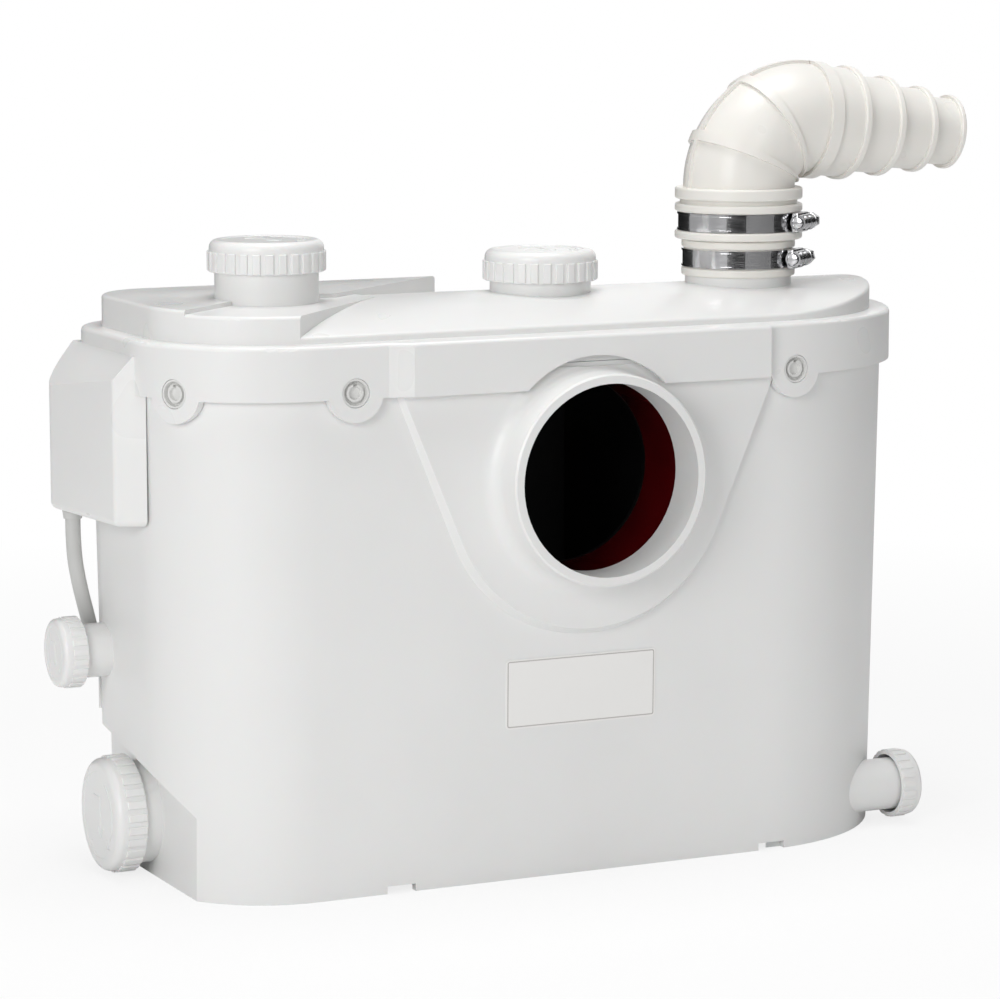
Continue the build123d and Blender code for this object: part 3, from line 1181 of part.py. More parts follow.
def nozzle_bore():
    """The stepped bore of the nozzle, each step a wall's thickness before the outer one."""
    place = 0
    shape = None
    last = len(NOZZLE_RADII) - 1
    for index, (radius, length) in enumerate(zip(NOZZLE_RADII, NOZZLE_LENGTHS)):
        start = place - NOZZLE_WALL if index else place
        end = place + length + OVERRUN if index == last else place + length - NOZZLE_WALL
        step = Pos(0, 0, start) * rod(radius - NOZZLE_WALL, end - start)
        shape = step if shape is None else shape + step
        place += length
    return shape


def discharge_elbow():
    """The rubber discharge elbow: cuff, ribbed bend and stepped nozzle, hollow all the way."""
    frame = nozzle_frame()
    shape = elbow_outer() + frame * nozzle_outer()
    bend_axis = Axis((BEND_RADIUS, 0, BEND_HEIGHT), (0, 1, 0))
    bore_radius = NOZZLE_RADII[0] - NOZZLE_WALL
    start = Plane.XY.offset(BEND_HEIGHT)
    shape -= revolve(start * Circle(bore_radius), bend_axis, BEND_TURN)
    shape -= frame * nozzle_bore()
    lip_foot = VALVE_TOP + RUN_GAP
    shape -= Pos(0, 0, CUFF_FOOT) * rod(SPIGOT_RADIUS + RUN_GAP, lip_foot - CUFF_FOOT)
    shape -= Pos(0, 0, lip_foot) * rod(VALVE_FLAP_RADIUS + SPIGOT_WALL, BEND_HEIGHT - lip_foot)
    shape -= Pos(0, 0, lip_foot + CUFF_NECK) * rod(bore_radius, BEND_HEIGHT - lip_foot - CUFF_NECK)
    return Pos(OUTLET_PLACE, 0, 0) * shape


def clamp_frame(foot):
    """Frame at a hose clamp's screw: X outwards from the outlet's line, Y along the screw."""
    turn = radians(CLAMP_TURN)
    return Plane(
        origin=(OUTLET_PLACE, 0, foot + BAND_WIDTH / 2), x_dir=(cos(turn), sin(turn), 0), z_dir=(0, 0, 1))


def clamp_band(inner, foot):
    """A hose clamp's steel band: a ring, its overlapping tail and the slots that the worm drives."""
    ring = tube(inner + BAND_THICKNESS, inner, BAND_WIDTH)
    outer = inner + 2 * BAND_THICKNESS
    tail_ring = tube(outer, inner + BAND_THICKNESS, BAND_WIDTH - 2 * BAND_THICKNESS)
    reach = 2 * outer
    start = HOUSING_LENGTH / 2 / inner
    stop = radians(TAIL_TURN)
    wedge = make_face(Polyline(
        (0, 0), (reach * cos(start), reach * sin(start)), (reach, 0), (reach * cos(stop), -reach * sin(stop)),
        close=True))
    tail = tail_ring & extrude(wedge, amount=BAND_WIDTH)
    slot = Box(2 * BAND_THICKNESS, BAND_SLOT, BAND_WIDTH - 6 * BAND_THICKNESS)
    pitch = degrees(2 * BAND_SLOT / inner)
    first = degrees(start) + pitch
    for index in range(int((TAIL_TURN - first) / pitch)):
        turn = Rot(0, 0, -first - index * pitch)
        tail -= turn * Pos(outer, 0, BAND_WIDTH / 2 - BAND_THICKNESS) * Rot(SLOT_LEAN, 0, 0) * slot
    band = ring + Pos(0, 0, BAND_THICKNESS) * tail
    return Pos(OUTLET_PLACE, 0, foot) * Rot(0, 0, CLAMP_TURN) * band


def clamp_screw_reach(inner):
    """Distance of a clamp's screw line from the outlet's line."""
    return inner + 2 * BAND_THICKNESS + HOUSING_WALL / 2 + SCREW_RADIUS + RUN_GAP


def clamp_housing(inner, foot):
    """The pressed housing that holds a clamp's worm screw over the band."""
    reach = clamp_screw_reach(inner)
    outer = SCREW_RADIUS + RUN_GAP + HOUSING_WALL
    low = inner + BAND_THICKNESS + FIT_GAP
    shell = Pos(reach, 0, 0) * Rot(90, 0, 0) * Cylinder(outer, HOUSING_LENGTH)
    skirt = Box(reach - low, HOUSING_LENGTH, BAND_WIDTH, align=(Align.MIN, Align.CENTER, Align.CENTER))
    shell += Pos(low, 0, 0) * skirt
    shell -= Pos(reach, 0, 0) * Rot(90, 0, 0) * Cylinder(SCREW_RADIUS + RUN_GAP, 2 * HOUSING_LENGTH)
    tail_space = tube(inner + 2 * BAND_THICKNESS + FIT_GAP, inner, BAND_WIDTH + 4 * HOUSING_WALL)
    shell -= Pos(0, 0, -BAND_WIDTH / 2 - 2 * HOUSING_WALL) * tail_space
    return clamp_frame(foot) * shell


def clamp_screw(inner, foot):
    """A clamp's worm screw with its slotted hexagon head."""
    reach = clamp_screw_reach(inner)
    shank = Pos(0, 0, -HOUSING_LENGTH / 2 - SCREW_TAIL) * rod(SCREW_RADIUS, HOUSING_LENGTH + SCREW_TAIL)
    head = extrude(RegularPolygon(SCREW_HEAD_RADIUS, 6), amount=SCREW_HEAD)
    head -= Pos(0, 0, SCREW_HEAD - SCREW_SLOT) * block(4 * SCREW_HEAD_RADIUS, SCREW_SLOT, SCREW_SLOT)
    flange = rod(SCREW_HEAD_RADIUS + HOUSING_WALL / 2, HOUSING_WALL)
    collar_place = HOUSING_LENGTH / 2 + RUN_GAP
    screw = shank + Pos(0, 0, collar_place) * (flange + Pos(0, 0, HOUSING_WALL) * head)
    screw += Pos(0, 0, HOUSING_LENGTH / 2 - RUN_GAP) * rod(SCREW_RADIUS, 2 * RUN_GAP)
    return clamp_frame(foot) * Pos(reach, 0, 0) * Rot(-90, 0, 0) * screw


def cap_blank(radius, height, band, edge):
    """A screw cap's outer body: gripping band below a rounded crown, standing on Z zero."""
    crown_radius = radius - edge / 4
    crown = fillet(rod(crown_radius, height).edges().group_by(Axis.Z)[-1], edge)
    grip = chamfer(rod(radius, band).edges().group_by(Axis.Z)[-1], edge / 8)
    return crown + grip


def screw_cap(radius, height, band, edge, top, inner, ribs, groove, groove_width):
    """A ribbed screw cap, open below, with a shallow ring on its flat top."""
    cap = cap_blank(radius, height, band, edge)
    cap -= rod(inner, height - top)
    for turn in PolarLocations(0, ribs):
        cap -= turn * Pos(radius, 0, 0) * block(2 * groove, groove_width, band)
    ring = radius - 2 * edge
    cap -= Pos(0, 0, height - groove / 4) * tube(ring, ring - groove / 2, groove / 4)
    return cap


def large_cap():
    """The large screw cap standing on Z zero."""
    return screw_cap(
        CAP_RADIUS, CAP_HEIGHT, CAP_BAND, CROWN_EDGE_RADIUS, CAP_TOP, NECK_RADIUS + RUN_GAP,
        CAP_RIBS, RIB_GROOVE, RIB_GROOVE_WIDTH)


def small_cap():
    """The small screw cap standing on Z zero."""
    return screw_cap(
        SMALL_CAP_RADIUS, SMALL_CAP_HEIGHT, SMALL_CAP_BAND, SMALL_CROWN_RADIUS, SMALL_CAP_TOP,
        SMALL_NECK_RADIUS + RUN_GAP, SMALL_CAP_RIBS, SMALL_GROOVE, SMALL_GROOVE_WIDTH)


def washer(neck_radius, width):
    """The rubber washer between a neck's mouth and its cap."""
    return tube(neck_radius, neck_radius - width, WASHER_THICKNESS)


def lead_radii(points):
    """The largest bend radius that each corner of the lead's route allows."""
    radii = []
    for before, corner, after in zip(points, points[1:], points[2:]):
        run_in = Vector(*corner) - Vector(*before)
        run_out = Vector(*after) - Vector(*corner)
        half_turn = radians(run_in.get_angle(run_out)) / 2
        radii.append(BEND_SHARE * min(run_in.length, run_out.length) / tan(half_turn))
    return radii


def round_bar(path):
    """The lead's round solid along a path."""
    section = Plane(origin=path @ 0, z_dir=path % 0) * Circle(LEAD_RADIUS)
    return sweep(section, path)


def mains_lead():
    """The free stretch of the lead, from the strain relief to the coil."""
    radii = lead_radii(LEAD_POINTS)
    print("lead radii", [round(radius, 1) for radius in radii])
    path = FilletPolyline(*LEAD_POINTS, radius=radii)
    solid = round_bar(path)
    section = pi * LEAD_RADIUS ** 2
    share = solid.volume / (section * path.length)
    print("lead length", round(path.length, 1), "volume ratio", round(share, 4))
    return solid


def coil_points():
    """Ends of the coil's half turns with their directions: in below, up one layer, out above."""
    radii = [COIL_INNER_RADIUS + COIL_PITCH * turns / 2 for turns in (3, 2, 1, 0, 0, 1, 2)]
    heights = [COIL_HEIGHT] * 4 + [COIL_HEIGHT + COIL_LAYER] * 3
    places = []
    for index, (radius, height) in enumerate(zip(radii, heights)):
        side = -1 if index % 2 == 0 else 1
        place = Vector(COIL_CENTRE[0], COIL_CENTRE[1] + side * radius, height)
        places.append((place, Vector(-side, 0, 0)))
    return places


def coil_path():
    """The coil's centre line: straight ends and half turns, each made of two quarter arcs."""
    places = coil_points()
    start, heading = places[0]
    edges = [Line(start - heading * COIL_START, start)]
    for (first, leaving), (last, arriving) in zip(places, places[1:]):
        reach = (last - first).length / 2
        shoulder = first + leaving * reach
        far_shoulder = last - arriving * reach
        joint = (shoulder + far_shoulder) * (1 / 2)
        edges.append(TangentArc(first, joint, tangent=leaving))
        edges.append(TangentArc(joint, last, tangent=far_shoulder - shoulder))
    end, heading = places[-1]
    edges.append(Line(end, end + heading * COIL_TAIL))
    return Wire(edges)


def coil_gap(path):
    """Least free space between two stretches of the coil that lie more than a turn's part apart."""
    count = int(path.length / (2 * LEAD_RADIUS)) * 4
    points = [path @ (index / count) for index in range(count + 1)]
    apart = int(count * COIL_INNER_RADIUS * pi / path.length)
    least = path.length
    for index, point in enumerate(points):
        for other in points[index + apart:]:
            least = min(least, (point - other).length)
    return least - 2 * LEAD_RADIUS


def cord_coil():
    """The put-away rest of the lead, wound in two layers as one unbroken tube."""
    path = coil_path()
    solid = round_bar(path)
    section = pi * LEAD_RADIUS ** 2
    share = solid.volume / (section * path.length)
    print("coil length", round(path.length, 1), "volume ratio", round(share, 4))
    print("coil gap", round(coil_gap(path), 2))
    return solid


def cord_tie():
    """The tie around the coil's left side."""
    inner = COIL_INNER_RADIUS - LEAD_RADIUS - TIE_GAP
    outer = COIL_INNER_RADIUS + 3 * COIL_PITCH / 4 + LEAD_RADIUS + TIE_GAP
    low = COIL_HEIGHT - LEAD_RADIUS - TIE_GAP
    high = COIL_HEIGHT + COIL_LAYER + LEAD_RADIUS + TIE_GAP
    width, height = outer - inner, high - low
    loop = Box(width + 2 * TIE_WALL, TIE_WIDTH, height + 2 * TIE_WALL) - Box(width, TIE_WIDTH, height)
    middle_x = COIL_CENTRE[0] - (inner + outer) / 2
    return Pos(middle_x, COIL_CENTRE[1], (low + high) / 2) * loop


def plug_frame():
    """Frame where the lead enters the plug: Z along the plug towards its pins."""
    end, heading = coil_points()[-1]
    return Plane(origin=end + heading * COIL_TAIL, x_dir=(0, 1, 0), z_dir=heading)


def mains_plug():
    """The moulded plug, lying on its flat side: tapered nose, grip and body."""
    height = 2 * (COIL_HEIGHT + COIL_LAYER)
    nose_face = Circle(LEAD_RADIUS + NOSE_WALL)
    neck = RectangleRounded(PLUG_WIDTH / 2, height / 2, PLUG_CORNER)
    body = RectangleRounded(PLUG_WIDTH, height, PLUG_CORNER)
    plug = extrude(nose_face, amount=PLUG_NOSE)
    grip_start = PLUG_NOSE
    grip_end = PLUG_NOSE + PLUG_GRIP
    plug += loft([Pos(0, 0, grip_start) * neck, Pos(0, 0, grip_end) * body], ruled=True)
    plug += Pos(0, 0, grip_end) * extrude(body, amount=PLUG_LENGTH - PLUG_GRIP)
    return plug_frame() * plug


def plug_pins():
    """The plug's two round pins."""
    pins = []
    for side in (-1, 1):
        pin = rod(PIN_RADIUS, PIN_LENGTH)
        pin = fillet(pin.edges().group_by(Axis.Z)[-1], PIN_RADIUS / 2)
        pins.append(plug_frame() * Pos(side * PIN_SPACING / 2, 0, PLUG_NOSE + PLUG_LENGTH) * pin)
    return Compound(pins)


def strain_relief():
    """The tapered rubber relief in the hood's floor, with the flange that rests inside."""
    x, y = LEAD_EXIT
    floor_top = HOOD_BOTTOM + HOOD_WALL
    foot = HOOD_BOTTOM - RELIEF_SHOWS
    head = foot + RELIEF_LENGTH
    relief = turned([
        (0, foot), (RELIEF_FOOT_RADIUS, foot), (RELIEF_SHANK_RADIUS, HOOD_BOTTOM),
        (RELIEF_SHANK_RADIUS, floor_top),
        (RELIEF_FLANGE_RADIUS, floor_top), (RELIEF_FLANGE_RADIUS, floor_top + RELIEF_FLANGE),
        (RELIEF_HEAD_RADIUS, floor_top + RELIEF_FLANGE), (RELIEF_HEAD_RADIUS, head), (0, head)])
    return Pos(x, y, 0) * relief


def terminal_block():
    """The screw terminals under the hood, standing against the tank's wall."""
    top = TERMINAL_BOTTOM + TERMINAL_HEIGHT
    inner = -TANK_HALF_LENGTH - wall_growth(top) - RUN_GAP
    body = Box(TERMINAL_DEPTH, TERMINAL_LENGTH, TERMINAL_HEIGHT, align=(Align.MAX, Align.CENTER, Align.MIN))
    pitch = TERMINAL_LENGTH / TERMINAL_WAYS
    for index in range(TERMINAL_WAYS):
        y = (index + 1 / 2) * pitch - TERMINAL_LENGTH / 2
        well = Rot(0, -90, 0) * rod(pitch / 4, TERMINAL_DEPTH)
        body -= Pos(-TERMINAL_DEPTH / 2, y, TERMINAL_HEIGHT / 2) * well
    return Pos(inner, TERMINAL_PLACE, TERMINAL_BOTTOM) * body


def pressure_chamber():
    """The air bell that feels the water level, standing on three short feet."""
    x, y = BELL_PLACE
    bell = Pos(0, 0, BELL_BOTTOM) * tube(BELL_RADIUS, BELL_RADIUS - BELL_WALL, BELL_TOP - BELL_BOTTOM)
    bell += Pos(0, 0, BELL_TOP - BELL_FLANGE) * tube(BELL_FLANGE_RADIUS, BELL_RADIUS - BELL_WALL, BELL_FLANGE)
    for turn in PolarLocations(BELL_RADIUS - BELL_WALL / 2, BELL_FEET):
        foot = block(BELL_WALL, BELL_FOOT_WIDTH, 2 * (BELL_BOTTOM - FLOOR_TOP))
        bell += turn * Pos(0, 0, FLOOR_TOP) * foot
    return Pos(x, y, 0) * bell


def diaphragm():
    """The rubber diaphragm clamped on top of the bell."""
    return Pos(*BELL_PLACE, BELL_TOP) * rod(BELL_FLANGE_RADIUS, DIAPHRAGM_THICKNESS)


def pressure_switch():
    """The switch that starts the motor, with the well its plunger moves in."""
    foot = BELL_TOP + DIAPHRAGM_THICKNESS
    base = rod(BELL_FLANGE_RADIUS, SWITCH_WELL)
    base += block(SWITCH_LENGTH, SWITCH_DEPTH, SWITCH_HEIGHT)
    base -= rod(PLUNGER_HEAD_RADIUS + RUN_GAP, PLUNGER_HEAD + PLUNGER_TRAVEL + RUN_GAP)
    base -= rod(PLUNGER_RADIUS + RUN_GAP, PLUNGER_HEAD + PLUNGER_LENGTH + PLUNGER_TRAVEL + RUN_GAP)
    return Pos(*BELL_PLACE, foot) * base


def switch_plunger():
    """The plunger that the diaphragm lifts."""
    foot = BELL_TOP + DIAPHRAGM_THICKNESS
    plunger = rod(PLUNGER_HEAD_RADIUS, PLUNGER_HEAD)
    plunger += Pos(0, 0, PLUNGER_HEAD) * rod(PLUNGER_RADIUS, PLUNGER_LENGTH)
    return Pos(*BELL_PLACE, foot) * plunger


def front_label():
    """The blank label on the leaning front wall."""
    x, z = LABEL_PLACE
    lean = degrees(atan(TANK_DRAFT / TANK_HEIGHT))
    plate = extrude(RectangleRounded(LABEL_WIDTH, LABEL_HEIGHT, LABEL_CORNER), amount=LABEL_THICKNESS)
    return Pos(x, -TANK_FRONT - wall_growth(z), z) * Rot(90 + lean, 0, 0) * plate


def save(name, shape):
    """Write one node's solids."""
    export_step(shape, os.path.join("parts", name + ".step"))


def main():
    """Build every piece and write it."""
    os.makedirs("parts", exist_ok=True)
    save("tank", tank())
    save("lid", lid())
    save("lid_gasket", lid_gasket())
    save("lid_clips", lid_clips())
    save("inlet_lining", inlet_lining())
    save("inlet_chute", inlet_chute())
    save("basket", basket())
    save("pump_volute", pump_volute())
    save("volute_cover", volute_cover())
    save("motor_can", motor_can())
    save("motor_cover", motor_cover())
    save("lower_bearing", bearing(MOTOR_BOTTOM + SEAL_HEIGHT))
    save("upper_bearing", bearing(MOTOR_TOP - BEARING_HEIGHT))
    save("shaft_seal", shaft_seal())
    save("stator", stator())
    save("windings", windings())
    save("rotor", rotor())
    save("shaft", shaft())
    save("cutter_blade", cutter_blade())
    save("impeller", impeller())
    save("impeller_nut", impeller_nut())
    save("capacitor", capacitor())
    save("discharge_pipe", discharge_pipe())
    save("check_valve_body", check_valve_body())
    save("check_valve_flap", check_valve_flap())
    save("outlet_sleeve", outlet_sleeve())
    save("discharge_elbow", discharge_elbow())
    for name, inner, foot in CLAMPS:
        save(name + "_clamp_band", clamp_band(inner, foot))
        save(name + "_clamp_housing", clamp_housing(inner, foot))
        save(name + "_clamp_screw", clamp_screw(inner, foot))
    for name, (x, y, mouth) in zip(("top_left", "top_middle"), TOP_PORTS):
        foot = mouth + WASHER_THICKNESS + CAP_TOP - CAP_HEIGHT
        save(name + "_cap", Pos(x, y, foot) * large_cap())
        save(name + "_cap_seal", Pos(x, y, mouth) * washer(NECK_RADIUS, WASHER_WIDTH))
    for port in SIDE_PORTS:
        frame = outwards(port.side, port.y, port.z)
        cap = large_cap() if port.large else small_cap()
        save(port.name + "_cap", frame * Pos(0, 0, port.foot) * cap)
        width = WASHER_WIDTH if port.large else SMALL_WASHER_WIDTH
        save(port.name + "_cap_seal", frame * Pos(0, 0, port.mouth) * washer(port.neck_radius, width))
        save(port.name + "_flap", side_flap(port))
    save("pressure_chamber", pressure_chamber())
    save("diaphragm", diaphragm())
    save("pressure_switch", pressure_switch())
    save("switch_plunger", switch_plunger())
    save("terminal_block", terminal_block())
    save("strain_relief", strain_relief())
    save("mains_lead", mains_lead())
    save("cord_coil", cord_coil())
    save("cord_tie", cord_tie())
    save("mains_plug", mains_plug())
    save("plug_pins", plug_pins())
    save("front_label", front_label())


main()
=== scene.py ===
"""Looks of the macerator toilet pump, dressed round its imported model. Metres, +Z up, inlet facing -Y."""
import logging
from dataclasses import dataclass, field
from enum import Enum
from math import atan2, cos, degrees, hypot, pi, radians, sin

import bmesh
import bpy
from mathutils import Matrix, Vector


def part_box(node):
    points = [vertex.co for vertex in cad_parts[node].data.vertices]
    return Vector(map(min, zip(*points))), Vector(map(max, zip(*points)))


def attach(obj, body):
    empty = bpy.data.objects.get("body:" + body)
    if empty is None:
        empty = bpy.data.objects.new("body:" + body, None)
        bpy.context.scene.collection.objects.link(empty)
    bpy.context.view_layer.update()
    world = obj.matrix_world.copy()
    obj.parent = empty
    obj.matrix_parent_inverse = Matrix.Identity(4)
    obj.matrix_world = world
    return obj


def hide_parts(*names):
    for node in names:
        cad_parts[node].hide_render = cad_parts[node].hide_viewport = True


log = logging.getLogger("macerator_pump")
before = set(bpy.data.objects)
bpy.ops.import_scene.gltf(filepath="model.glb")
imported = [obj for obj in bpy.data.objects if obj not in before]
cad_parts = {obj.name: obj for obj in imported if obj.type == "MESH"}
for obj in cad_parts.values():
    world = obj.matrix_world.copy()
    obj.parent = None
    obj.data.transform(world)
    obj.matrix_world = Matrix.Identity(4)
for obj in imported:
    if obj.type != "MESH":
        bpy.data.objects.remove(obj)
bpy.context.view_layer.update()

MM = 0.001
WELD = 0.00001          # vertices closer than this are one


class Grain(Enum):
    """How a finish's surface was made, which sets the pattern of its relief."""

    MOULDED = "moulded"
    RUBBER = "rubber"
    DRAWN = "drawn"
    GROUND = "ground"


class Facing(Enum):
    """The way that a port, and so its screw cap, faces."""

    UP = (0, 0, 1)
    LEFT = (-1, 0, 0)
    RIGHT = (1, 0, 0)


def hex_colour(text: str) -> tuple[float, float, float, float]:
    """Turn an sRGB hex colour into linear values.

    Args:
        text: six hex digits, such as "f2f2f0".

    Returns:
        Linear red, green, blue and an alpha of 1.
    """
    shares = [int(text[place:place + 2], 16) / 255 for place in (0, 2, 4)]
    linear = [v / 12.92 if v <= 0.04045 else ((v + 0.055) / 1.055) ** 2.4 for v in shares]
    return linear[0], linear[1], linear[2], 1.0


def add_node(tree: bpy.types.NodeTree, kind: str, inputs: dict | None = None, **settings) -> bpy.types.Node:
    """Add a shader node with its settings, values and links.

    Args:
        tree: the node tree that gets the node.
        kind: the node's type name.
        inputs: values, or sockets to link, by input name or number.
        settings: the node's own properties.

    Returns:
        The new node.
    """
    node = tree.nodes.new(kind)
    for name, value in settings.items():
        setattr(node, name, value)
    for key, value in (inputs or {}).items():
        if isinstance(value, bpy.types.NodeSocket):
            tree.links.new(value, node.inputs[key])
        else:
            node.inputs[key].default_value = value
    return node


@dataclass(frozen=True)
class Finish:
    """One real surface: what it is made of and how it was made."""

    name: str
    colour: str
    roughness: float
    grain: Grain = Grain.MOULDED
    grain_mm: float = 0.6          # real spacing of the fine relief
    relief_mm: float = 0.004       # real height of the fine relief
    wave_mm: float = 45.0          # spacing of the slow unevenness of a moulded or cast wall
    wave_relief_mm: float = 0.02
    shade: str | None = None       # a second tone that the first drifts to
    rough_drift: float = 0.05
    metallic: float = 0.0
    ior: float = 1.5
    coat: float = 0.0
    skin: float = 0.0              # share of light that scatters under the surface
    skin_mm: float = 1.0

    def material(self) -> bpy.types.Material:
        """Make the finish's material, or give the one already made.

        Returns:
            The material.
        """
        made = bpy.data.materials.get(self.name)
        if made:
            return made
        made = bpy.data.materials.new(self.name)
        made.use_nodes = True
        tree = made.node_tree
        shader = tree.nodes["Principled BSDF"]
        place = add_node(tree, "ShaderNodeTexCoord").outputs["Object"]
        if self.grain is Grain.DRAWN:
            stretched = {"Vector": place, "Scale": (0.04, 0.04, 1.0)}
            place = add_node(tree, "ShaderNodeMapping", stretched).outputs[0]
        fine = add_node(tree, "ShaderNodeTexNoise", {
            "Vector": place, "Scale": 1 / (self.grain_mm * MM), "Detail": 3.0, "Roughness": 0.6}).outputs[0]
        slow = add_node(tree, "ShaderNodeTexNoise", {
            "Vector": place, "Scale": 1 / (self.wave_mm * MM), "Detail": 1.0}).outputs[0]
        wave = add_node(tree, "ShaderNodeBump", {
            "Height": slow, "Distance": self.wave_relief_mm * MM, "Strength": 1.0}).outputs[0]
        relief = add_node(tree, "ShaderNodeBump", {
            "Height": fine, "Distance": self.relief_mm * MM, "Strength": 1.0, "Normal": wave}).outputs[0]
        tree.links.new(relief, shader.inputs["Normal"])
        drift = add_node(tree, "ShaderNodeMapRange", {
            "Value": fine if self.grain is Grain.DRAWN else slow, "From Min": 0.3, "From Max": 0.7,
            "To Min": max(self.roughness - self.rough_drift, 0.02),
            "To Max": self.roughness + self.rough_drift})
        tree.links.new(drift.outputs[0], shader.inputs["Roughness"])
        if self.shade:
            tone = add_node(tree, "ShaderNodeMix", {
                0: slow, 6: hex_colour(self.colour), 7: hex_colour(self.shade)}, data_type="RGBA")
            tree.links.new(tone.outputs[2], shader.inputs["Base Color"])
        else:
            shader.inputs["Base Color"].default_value = hex_colour(self.colour)
        shader.inputs["Metallic"].default_value = self.metallic
        if not self.metallic:
            shader.inputs["IOR"].default_value = self.ior
        shader.inputs["Coat Weight"].default_value = self.coat
        shader.inputs["Coat Roughness"].default_value = self.roughness / 2
        if self.skin:
            shader.inputs["Subsurface Weight"].default_value = self.skin
            shader.inputs["Subsurface Scale"].default_value = self.skin_mm * MM
        return made


# Injection moulded polypropylene, white: a soft sheen, faint flow unevenness
TANK_PLASTIC = Finish("moulded_white_polypropylene", "e9e9e8", 0.34, shade="e6e6e5", skin=0.08)
LID_PLASTIC = Finish("moulded_white_lid_plastic", "e9e9e8", 0.32, shade="e5e5e4", skin=0.08)
# Screw caps: the same plastic from another tool, a little glossier
CAP_PLASTIC = Finish("moulded_white_cap_plastic", "ebebea", 0.3, grain_mm=0.4, shade="e8e8e7", skin=0.08)
CLIP_PLASTIC = Finish("moulded_white_clip_nylon", "dededc", 0.36, grain_mm=0.4)
# Glossy dark red liner of the inlet: polished polystyrene with deep clear colour
LINER_RED = Finish(
    "glossy_red_polystyrene", "5a0509", 0.08, wave_relief_mm=0.05, shade="2a0204", rough_drift=0.03, coat=0.4)
# The chute's near-black colour is painted shade: it gives the dark inside of the inlet, beyond the red liner
CHUTE_BLACK_PAINTED_SHADE = Finish("matt_black_abs_painted_shade", "0b0b0c", 0.5, relief_mm=0.01)
PUMP_BLACK = Finish("glass_filled_black_nylon", "161617", 0.55, relief_mm=0.012)
BASKET_GREY = Finish("moulded_grey_polypropylene", "5b5e60", 0.45)
PIPE_GREY = Finish("extruded_grey_pvc", "84888a", 0.35)
# Cast thermoplastic rubber, cream: silky, slightly see-through at thin edges
HOSE_RUBBER = Finish(
    "cream_thermoplastic_rubber", "edebe6", 0.32, Grain.RUBBER, grain_mm=0.5, relief_mm=0.006, wave_mm=30.0,
    wave_relief_mm=0.06, shade="e6e3dd", skin=0.05, skin_mm=1.0)
SEAL_RUBBER = Finish("black_nitrile_rubber", "1a1a1b", 0.55, Grain.RUBBER, relief_mm=0.01)
# Rolled stainless strip with a bright finish: lines along the strip, drawn coarser than the real 0.05 mm to show
CLAMP_STRIP = Finish(
    "bright_rolled_stainless_strip", "ececee", 0.11, Grain.DRAWN, grain_mm=0.25, relief_mm=0.002,
    wave_relief_mm=0.0,
    rough_drift=0.06, metallic=1.0)
CLAMP_STEEL = Finish(
    "pressed_bright_steel", "c2c2c4", 0.15, Grain.GROUND, grain_mm=0.3, relief_mm=0.008, wave_relief_mm=0.02,
    rough_drift=0.06, metallic=1.0)
SHAFT_STEEL = Finish("ground_shaft_steel", "b9babc", 0.22, Grain.GROUND, grain_mm=0.2, metallic=1.0)
CORE_IRON = Finish("stamped_core_iron", "6c6d70", 0.45, Grain.GROUND, metallic=1.0)
WINDING_COPPER = Finish(
    "enamelled_copper_wire", "a8552c", 0.35, Grain.DRAWN, grain_mm=0.8, relief_mm=0.1, metallic=1.0)
MOTOR_PAINT = Finish("grey_baked_enamel", "4a4c4f", 0.35, relief_mm=0.008)
CORD_PVC = Finish(
    "light_grey_pvc_cord", "c9c9c7", 0.4, Grain.RUBBER, grain_mm=0.5, wave_mm=20.0,
    wave_relief_mm=0.05, shade="c3c3c1")
PLUG_PVC = Finish("moulded_grey_pvc_plug", "cbcbc9", 0.35, relief_mm=0.006)
TERMINAL_CREAM = Finish("cream_polyamide", "ddd6c2", 0.42)
PIN_BRASS = Finish("nickelled_brass", "cfc9b4", 0.2, Grain.GROUND, metallic=1.0)
# Sticker of white film with a satin face
LABEL_FILM = Finish("satin_white_film", "efeeec", 0.38, relief_mm=0.0005, wave_relief_mm=0.0)
LABEL_EDGE = Finish("printed_grey_line", "b9b4b2", 0.35, relief_mm=0.001)


def deselect() -> None:
    """Leave edit mode and deselect every object."""
    if bpy.context.object and bpy.context.object.mode != "OBJECT":
        bpy.ops.object.mode_set(mode="OBJECT")
    bpy.ops.object.select_all(action="DESELECT")


def take(piece: bpy.types.Object) -> bpy.types.Object:
    """Make one piece the only selected and the active one."""
    deselect()
    piece.select_set(True)
    bpy.context.view_layer.objects.active = piece
    return piece


def named(name: str) -> bpy.types.Object:
    """Name the object that an operator has just added."""
    piece = bpy.context.object
    piece.name = name
    piece.data.name = name
    return piece


def pick(piece: bpy.types.Object, wanted, edges: bool = False) -> int:
    """Select the faces, or the edges, that a test accepts, and enter edit mode.

    Args:
        piece: the piece to edit.
        wanted: a test of a bmesh face or edge.
        edges: whether edges are tested in place of faces.

    Returns:
        How many were selected.
    """
    take(piece)
    bpy.ops.object.mode_set(mode="EDIT")
    bpy.ops.mesh.select_mode(type="EDGE" if edges else "FACE")
    mesh = bmesh.from_edit_mesh(piece.data)
    count = 0
    for item in (mesh.edges if edges else mesh.faces):
        chosen = bool(wanted(item))
        item.select_set(False)
        count += chosen
    for item in (mesh.edges if edges else mesh.faces):
        if wanted(item):
            item.select_set(True)
    bmesh.update_edit_mesh(piece.data)
    return count


def grow(value: tuple[float, float, float] = (1, 1, 1), move: tuple[float, float, float] = (0, 0, 0)) -> None:
    """Extrude the selected faces as one region, then scale and move them."""
    bpy.ops.mesh.extrude_region_move(TRANSFORM_OT_translate={"value": move})
    if value != (1, 1, 1):
        bpy.ops.transform.resize(value=value, center_override=(0, 0, 0))


